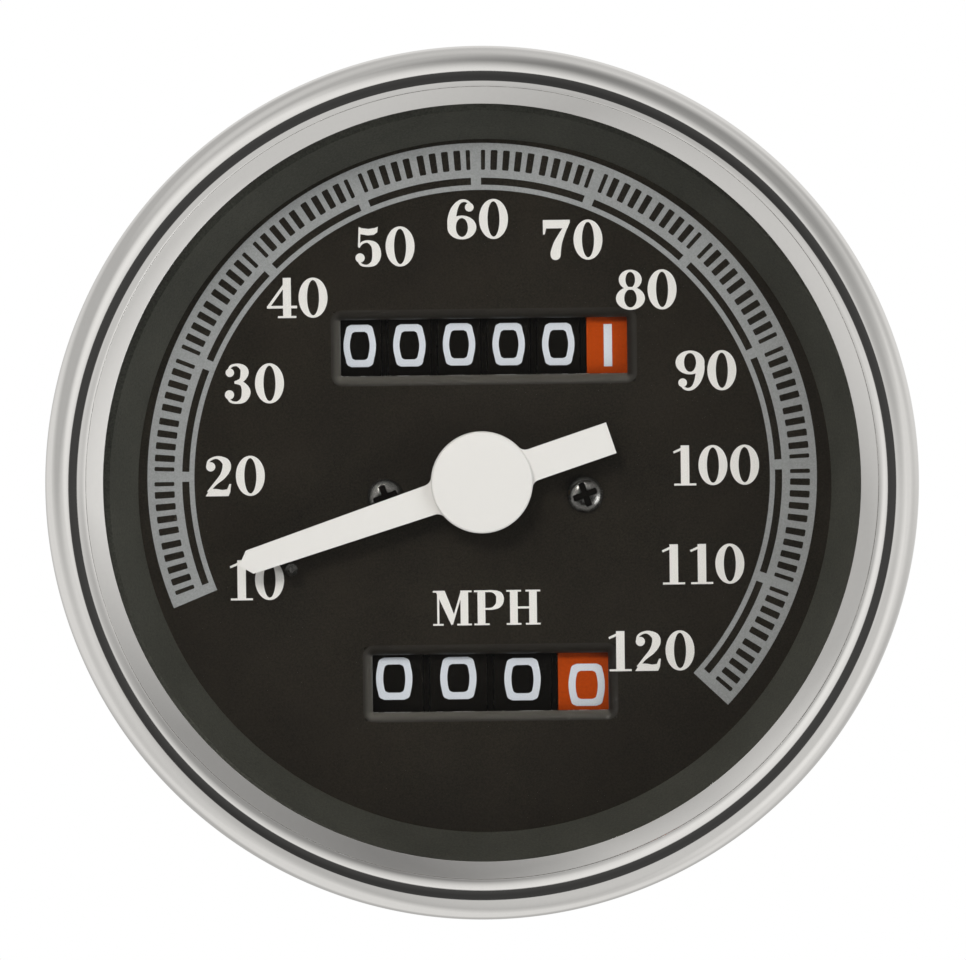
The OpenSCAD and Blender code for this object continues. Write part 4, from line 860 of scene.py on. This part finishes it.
def edge_material(slot, paint, bare_and_lit, threshold, metal):
    """Paint made lighter where a noise pattern passes a threshold and the surface faces up or right: rubbed
    flecks times painted light on the lit sides.
    """
    made, tree = blank_material(slot)
    pattern = noise(tree, Scale=WEAR_SCALE, Detail=4.0, Roughness=0.7)
    rubbed = remap(tree, pattern, threshold, threshold + WEAR_SOFT)
    # painted light: lighter only where the normal faces up or right, towards the light from above and the
    # right
    lit_side = remap(tree, facing(tree, node(tree, "TexCoord").outputs["Normal"], LIT_SIDE), 0.1, 0.8)
    colour = mix_colour(tree, maths(tree, "MULTIPLY", rubbed, lit_side), (*paint, 1.0), (*bare_and_lit, 1.0))
    shader = node(tree, "BsdfPrincipled", Base_Color=colour, Metallic=metal, Roughness=0.5,
                  Specular_IOR_Level=0.25)
    node(tree, "OutputMaterial", Surface=shader.outputs["BSDF"])
    return made


# paint, lighter colour, threshold of the pattern, metallic. The rolled edge's low threshold lets the pattern
# pass nearly everywhere, so its lighter colour is painted light on the sides facing up or right; the bead's
# lighter colour is bare metal in flecks, shown only on those sides: wear and painted highlight
EDGES = {"rolled_edge": ((0.0125, 0.0105, 0.0078), (0.130, 0.122, 0.106), 0.18, 0.0),
         "worn_and_lit_edge": ((0.05, 0.046, 0.040), (0.80, 0.79, 0.76), 0.50, 0.4)}
for look, numbers in EDGES.items():
    LOOKS[look] = edge_material(look, *numbers)
for label, window in WINDOWS.items():
    keep_piece(label + "_window_rim", window_rim(window), "dial_black", crisp=60, look="rolled_edge")
    keep_piece(label + "_window_wear_and_light", worn_bead(window), "bare_aluminium", crisp=60, look="worn_and_lit_edge")
print("window edges:", list(WINDOWS))

# %% [markdown]
# ## Cross-head screws
# The two dial screws are small pan heads with a deep cross. A head is a height field over a disc: a dome
# from which two crossed grooves with sloping ends are taken away. All heights come from one array
# expression. A flat black film of the same cross lies in the bottom of each recess: painted shade for the
# deep cross.


# %% Dial screws
RECESS, CROSS_DEG, CROSS_HALF, GROOVE_EDGE = 0.85, 20, 0.31, 0.07
GROOVE_REACH, GROOVE_SLOPE, DOME_FALL, SHANK, HEAD_SUNK = 0.68, 0.22, 0.55, 0.55, 0.02
# depth, thickness, reach and inset of the black film in each cross: painted shade for the deep recess
RECESS_SHADE_DEPTH, RECESS_SHADE_FILM, RECESS_SHADE_REACH, RECESS_SHADE_IN = 0.42, 0.04, 0.60, 0.04


def screw_heads(solid, centres, radius):
    """Pan heads with a cross recess: a dome lowered by two grooves that deepen towards the middle."""
    base, top = DIAL_FACE - HEAD_SUNK, front(solid)
    r = np.concatenate([np.linspace(0, 0.99, 56), [1.0, 1.0, SHANK, SHANK, 0.0]]) * radius
    a = full_turn(144)
    dome = (top - base) * (1 - DOME_FALL * np.clip(r / radius, 0, 1) ** 4)
    t = math.radians(CROSS_DEG)
    x, y = r * np.cos(a - t), r * np.sin(a - t)

    def groove(along, across):
        """How deep one groove is: 1 on its floor, falling to 0 at its sloping ends and its sides."""
        ends = np.clip((GROOVE_REACH * radius - np.abs(along)) / (GROOVE_SLOPE * radius), 0, 1)
        return ends * np.clip((CROSS_HALF - np.abs(across)) / GROOVE_EDGE, 0, 1)

    level = base + dome - RECESS * np.maximum(groove(x, y), groove(y, x)) * (top - base)
    level[:, -4:] = base, base, back(solid), back(solid)
    heads = [place(u + r * np.cos(a), v + r * np.sin(a), level) for u, v in centres]
    return repeated(heads, grid_faces(len(a), len(r), True, False))


low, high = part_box("dial_screws")
screw_r = (high.z - low.z) / 2 / MM
screw_v = (high.z + low.z) / 2 / MM
screw_at = [(low.x / MM + screw_r, screw_v), (high.x / MM - screw_r, screw_v)]
heads = screw_heads("dial_screws", screw_at, screw_r)
screws = keep_piece("dial_screw_heads", heads, "black_screw", crisp=35)
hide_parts("dial_screws")
# painted shade: a black cross-shaped film low in each recess, darkening it as shade would
arm = bar(-1, -1, 1, 1)[0] * (RECESS_SHADE_REACH * screw_r, CROSS_HALF - RECESS_SHADE_IN)
crosses = [outline @ rotation(CROSS_DEG) + at for at in screw_at for outline in (arm, arm[:, ::-1])]
grease = ink_film(*flat_fill(crosses), RECESS_SHADE_FILM, lift_from(front("dial_screws") - RECESS_SHADE_DEPTH))
keep_piece("dial_screw_recess_shade", grease, "black_screw", look="black_wheel")
print("dial screws at", [tuple(round(c, 2) for c in p) for p in screw_at], "radius", round(screw_r, 2))

# %% [markdown]
# ## The pointer
# A sheet-metal blade is riveted under a round cap. The cap's rim is nearly sharp and the blade meets it in
# small fillets, so the skin is a turned cap and a flat outline drawn out to the sheet's thickness. Each
# fillet is the small patch between the cap's circle, the blade's edge and a circle that touches both.

# %% Pointer
REST_DEG, TIP, SHOULDER, TAIL, HALF_BLADE, HALF_TIP = 198.3, 25.3, 24.2, 13.5, 1.6, 1.2
CAP_R, CAP_EDGE, CAP_LIFT, FILLET, SHEET, SHEET_LIFT = 5.03, 0.22, 2.8, 0.90, 0.7, 3.0


def fillet_patch(half, sx, sy):
    """Outline of the patch that rounds the corner between the cap's circle and an edge at a half width."""
    x = math.sqrt((CAP_R + FILLET) ** 2 - (half + FILLET) ** 2)
    start = math.degrees(math.atan2(half + FILLET, x)) + 180
    curve = arc((x, half + FILLET), FILLET, start, 270, 10)
    return np.vstack([curve, [(x * 0.8, half * 0.5)]]) * (sx, sy)


tip_side = HALF_BLADE - (HALF_BLADE - HALF_TIP) * CAP_R / SHOULDER
blade = np.array([(TIP, 0), (SHOULDER, HALF_TIP), (0, HALF_BLADE), (-TAIL, HALF_BLADE), (-TAIL, -HALF_BLADE),
                  (0, -HALF_BLADE), (SHOULDER, -HALF_TIP)])
fillets = [fillet_patch(tip_side if sx > 0 else HALF_BLADE, sx, sy) for sx in (-1, 1) for sy in (-1, 1)]
flat_points, flat_faces = flat_fill([outline @ rotation(REST_DEG) for outline in [blade] + fillets])
sheet = ink_film(flat_points, flat_faces, SHEET, lift_from(DIAL_FACE + SHEET_LIFT))
keep_piece("pointer_blade", sheet, "white_paint", crisp=35, body="pointer_body")
cap_foot, cap_top = DIAL_FACE + CAP_LIFT, front("pointer")
cap_rim = arc((CAP_R - CAP_EDGE, cap_top - CAP_EDGE), CAP_EDGE, 0, 90, 8)
cap = turned(np.vstack([[(0, cap_foot), (CAP_R, cap_foot)], cap_rim, [(0, cap_top)]]), steps=180)
pointer_cap = keep_piece("pointer_cap", cap, "white_paint", crisp=35, body="pointer_body")
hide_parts("pointer")
print("pointer outline points:", len(flat_points), "cap faces:", len(cap.polygons))

# %% [markdown]
# ## A ring that sits a little loose
# The painted ring under the glass is held only by the bezel's pressure, so it lies about a third of a
# millimetre off centre: the dark gap round the scale is narrow at the top left and wide at the bottom
# right. The section is that of the solid, a cone with a flange under the glass, turned with finer steps so
# that its edge is a clean curve.

# %% Trim ring
RING_SHIFT, RING_WALL, RING_SHADOW = (0.32, -0.34), 0.8, 0.3
ring_foot, ring_rim, ring_top = bore("trim_ring"), reach("trim_ring"), front("trim_ring")
ring_mouth = bore("bezel") - RING_SHADOW
ring_section = [(ring_foot, DIAL_FACE), (ring_foot + RING_WALL, DIAL_FACE),
                (ring_mouth + RING_WALL, ring_top - RING_WALL), (ring_rim, ring_top - RING_WALL),
                (ring_rim, ring_top), (ring_mouth, ring_top)]
ring = keep_piece("trim_ring_settled", turned(ring_section, RING_SHIFT, 360), "grey_green_paint")
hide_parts("trim_ring")
print("trim ring section:", [(round(float(r), 2), round(float(w), 2)) for r, w in ring_section])

# %% [markdown]
# ## Screw threads
# The solids of the studs and of the drive gland are plain, of the thread's outer size. A thread could be
# cut with a swept helix and a boolean, which is slow and leaves slivers. Here the radius of a turned body
# also depends on the angle: the groove's phase moves on by one turn in each pitch, so an ordinary grid of
# points carries the helix.


# %% Threads
PITCH_STEPS, WAVE_RISE, CREST_FLAT = 10, 1.5, 0.25


def threaded(before, thread, after, pitch, depth, centres, steps=72, flats=None, tube=False):
    """Turned bodies with a helical groove between two levels.

    The groove's depth is a clipped triangle wave. Its phase is the level over the pitch, less the angle as a
    share of a full turn, and it fades out over the last pitch at either end. Flats cut the radius down to a
    straight edge.
    """
    radius, start, end = thread
    levels = np.linspace(start, end, int(abs(end - start) / pitch * PITCH_STEPS) + 1)
    rows = np.vstack([before, np.stack([np.full(len(levels), radius), levels], axis=-1), after])
    a = full_turn(steps)
    r, w = np.broadcast_to(rows[:, 0], (steps, len(rows))).copy(), rows[:, 1]
    phase = np.mod(w / pitch - a / (2 * np.pi), 1.0)
    fade = np.clip(np.minimum(start - w, w - end) / pitch, 0, 1) * (rows[:, 0] == radius)
    r -= fade * depth * np.clip(WAVE_RISE * np.abs(2 * phase - 1) - CREST_FLAT, 0, 1)
    if flats:
        across, low_end, high_end = flats
        cut = (w >= low_end) & (w <= high_end)
        r = np.where(cut, np.minimum(r, across / np.maximum(np.abs(np.cos(a)), 1e-6)), r)
    bodies = [place(u + r * np.cos(a), v + r * np.sin(a), w) for u, v in centres]
    return repeated(bodies, grid_faces(steps, len(rows), True, tube))


STUD_X, STUD_R, SHOULDER_R, HEAD_R, HEAD_T, STUD_CHAMFER = 29.0, 2.5, 3.0, 4.5, 2.0, 0.5
STUD_PITCH, STUD_CUT, GLAND_PITCH, GLAND_CUT, GLAND_STEPS = 0.8, 0.40, 1.0, 0.50, 120
stud_tip, stud_top = back("mounting_studs"), front("mounting_studs")
head_low = stud_top - HEAD_T
stud_head = [(0.0, stud_top), (HEAD_R, stud_top), (HEAD_R, head_low), (SHOULDER_R, head_low),
             (SHOULDER_R, 0.0)]
stud_end = [(STUD_R - STUD_CHAMFER, stud_tip), (0.0, stud_tip)]
stud_thread, stud_at = (STUD_R, 0.0, stud_tip + STUD_CHAMFER), [(-STUD_X, 0), (STUD_X, 0)]
stud_bodies = threaded(stud_head, stud_thread, stud_end, STUD_PITCH, STUD_CUT, stud_at)
studs = keep_piece("stud_threads", stud_bodies, "zinc_steel", crisp=40)
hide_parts("mounting_studs")

FLANGE_TOP, FLANGE_LOW, FLANGE_R, FLANGE_HALF, FLANGE_SEAT, HAIR = 4.3, 1.8, 9.0, 8.0, 0.25, 0.001
GLAND_R, GLAND_CHAMFER, BUSH_R, SPIGOT_R, SOCKET_R, SOCKET_DEEP = 6.0, 0.6, 3.55, 5.0, 4.2, 6.0
gland_tip, gland_top = back("drive_gland"), front("drive_gland")
seat_low, socket_end = FLANGE_TOP - FLANGE_SEAT, gland_tip + SOCKET_DEEP
gland_head = [(BUSH_R, gland_top), (SPIGOT_R, gland_top), (SPIGOT_R, FLANGE_TOP), (FLANGE_R, FLANGE_TOP),
              (FLANGE_R, seat_low + HAIR), (FLANGE_R, seat_low), (FLANGE_R, FLANGE_LOW)]
gland_end = [(GLAND_R - GLAND_CHAMFER, gland_tip), (SOCKET_R, gland_tip), (SOCKET_R, socket_end),
             (BUSH_R, socket_end)]
gland_thread = (GLAND_R, FLANGE_LOW, gland_tip + GLAND_CHAMFER)
gland_body = threaded(gland_head, gland_thread, gland_end, GLAND_PITCH, GLAND_CUT, [(0, 0)], GLAND_STEPS,
                      flats=(FLANGE_HALF, FLANGE_LOW, seat_low), tube=True)
gland = keep_piece("gland_thread", gland_body, "zinc_casting", crisp=40)
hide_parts("drive_gland")
print("threaded pieces:", len(studs.data.polygons) + len(gland.data.polygons), "faces")

# %% [markdown]
# ## Brass blades
# The push-in lamp holders end in two brass blades each, which the solid has in one piece with its rubber. A
# thin sleeve clothes each blade: the same box of eight corners, moved to its place.


# %% Lamp blades
LAMP_U, LAMP_V, BLADE_OUT, BLADE_LEN, BLADE_OVER = 26.0, 15.0, 2.0, 7.0, 0.03
BLADE_SIZE = (0.86, 4.86)


def blade_sleeves(centres, levels):
    """Boxes between two levels, front one first, with one at each of the given centres."""
    square = bar(-1, -1, 1, 1)[0] * BLADE_SIZE / 2
    boxes = [np.stack([place(*(square + at).T, w) for w in levels]) for at in centres]
    return repeated(boxes, np.vstack([grid_faces(2, 4, False, True)[:, ::-1], [[0, 1, 2, 3], [7, 6, 5, 4]]]))


blade_tip = back("lamp_sockets")
blade_at = [(s * LAMP_U + k * BLADE_OUT, LAMP_V) for s in (-1, 1) for k in (-1, 1)]
blades = keep_piece("lamp_blades", blade_sleeves(blade_at, (blade_tip + BLADE_LEN, blade_tip - BLADE_OVER)),
                    "brass", crisp=20)
print("lamp blades:", len(blades.data.polygons), "faces")

# %% [markdown]
# ## The studio
# The gauge is shown square-on against plain white. A light tent surrounds it, so its chrome sees pale cloth
# almost everywhere, and a dark opening for the camera keeps the flat glass free of glare. The cloth is
# bright round the lamp at the upper left and shaded at the upper right, from which the fine light and dark
# lines on the bezel come.


# %% Tent and backdrop
PALE, DARKEST_PANEL, BRIGHTEST_PANEL = 0.65, 0.72, 1.12
OPENING_DROP = math.radians(12.0)
KEY_AT, FILL_AT = (-0.24, -0.95, 0.40), (0.70, -0.55, -0.30)
opening = (0.0, -math.cos(OPENING_DROP), -math.sin(OPENING_DROP))
# direction, rim and core of a cone in degrees, and its factor: the lamp's glow, shaded cloth, lit cloth, and
# the opening, which dips below the line of sight because camera and stand fill the lower part of the gap
PATCHES = [(KEY_AT, 37, 10, 1.60), ((0.45, -0.60, 0.66), 44, 16, 0.45), ((0.50, -0.62, -0.60), 46, 20, 1.28),
           (opening, 21.9, 19.3, 0.08)]


def tent_world():
    """World light by direction: uneven pale cloth, times a factor for every patch.

    A patch's factor is 1 outside its rim, has its full value inside its core, and changes evenly between.
    The camera itself sees plain white.
    """
    world = bpy.data.worlds.new("tent")
    world.use_nodes = True
    tree = world.node_tree
    tree.nodes.clear()
    toward = node(tree, "TexCoord").outputs["Generated"]
    panels = noise(tree, toward, Scale=1.2, Detail=0.0)
    level = remap(tree, panels, 0.35, 0.65, DARKEST_PANEL * PALE, BRIGHTEST_PANEL * PALE)
    for direction, rim, core, gain in PATCHES:
        along = facing(tree, toward, Vector(direction).normalized())
        factor = remap(tree, along, math.cos(math.radians(rim)), math.cos(math.radians(core)), 1.0, gain)
        level = maths(tree, "MULTIPLY", level, factor)
    tent = node(tree, "Background", Color=(1.0, 0.985, 0.965, 1.0), Strength=level)
    white = node(tree, "Background", Color=(1.0, 1.0, 1.0, 1.0), Strength=1.0)
    to_camera = node(tree, "LightPath").outputs["Is Camera Ray"]
    shown = mix_shader(tree, to_camera, tent.outputs["Background"], white.outputs["Background"])
    node(tree, "OutputWorld", Surface=shown)
    return world


scene = bpy.context.scene
scene.world = tent_world()
print("patches in the tent:", len(PATCHES))

# %% Lamps
# place from the glass, size in metres, power in watts and colour; shiny surfaces show the tent and no lamp
LAMPS = {"key": (KEY_AT, 0.22, 4.9, (1.0, 0.975, 0.945)), "fill": (FILL_AT, 0.50, 3.4, (0.96, 0.98, 1.0))}
FACE = Vector((0.0, -GLASS_TOP * MM, 0.0))
for name, (offset, size, power, colour) in LAMPS.items():
    lamp = bpy.data.lights.new(name, "AREA")
    lamp.size, lamp.energy, lamp.color = size, power, colour
    holder = bpy.data.objects.new(name, lamp)
    holder.location = FACE + Vector(offset)
    holder.visible_glossy = False
    holder.rotation_euler = (-Vector(offset)).to_track_quat("-Z", "Y").to_euler()
    scene.collection.objects.link(holder)
print("lamps:", list(LAMPS))

# %% [markdown]
# ## The camera
# A long lens from far away shows the dial without perspective. The picture is 95 mm wide at the bezel, and
# the camera is rolled by a fraction of a degree, because the gauge was not quite upright in the picture
# that it follows.

# %% Camera
VIEW_WIDTH, DISTANCE, SENSOR, ROLL_DEG = 0.0950, 3.6, 36.0, -0.7
AIM_U, AIM_V, EYE_OFF = 0.07, 0.28, 0.0225
camera = bpy.data.cameras.new("camera")
camera.sensor_width = SENSOR
camera.lens = SENSOR * DISTANCE / VIEW_WIDTH
camera.clip_start, camera.clip_end = 1.0, 20.0
eye = bpy.data.objects.new("camera", camera)
aim = Vector(place(AIM_U, AIM_V, front("bezel")))
eye.location = aim + Vector((-EYE_OFF, -DISTANCE, EYE_OFF))
eye.rotation_euler = ((aim - eye.location).to_track_quat("-Z", "Y").to_matrix().to_4x4()
                      @ Matrix.Rotation(math.radians(ROLL_DEG), 4, "Z")).to_euler()
scene.collection.objects.link(eye)
scene.camera = eye
scene.view_settings.view_transform = "Standard"
print("lens", round(camera.lens, 1), "mm")

# %% [markdown]
# ## Sizes
# The box of the dressed instrument should be the box of the solids; the dressed size is printed.

# %% Sizes and finish
low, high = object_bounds()
print("dressed size in mm:", [round((b - a) / MM, 2) for a, b in zip(low, high)])
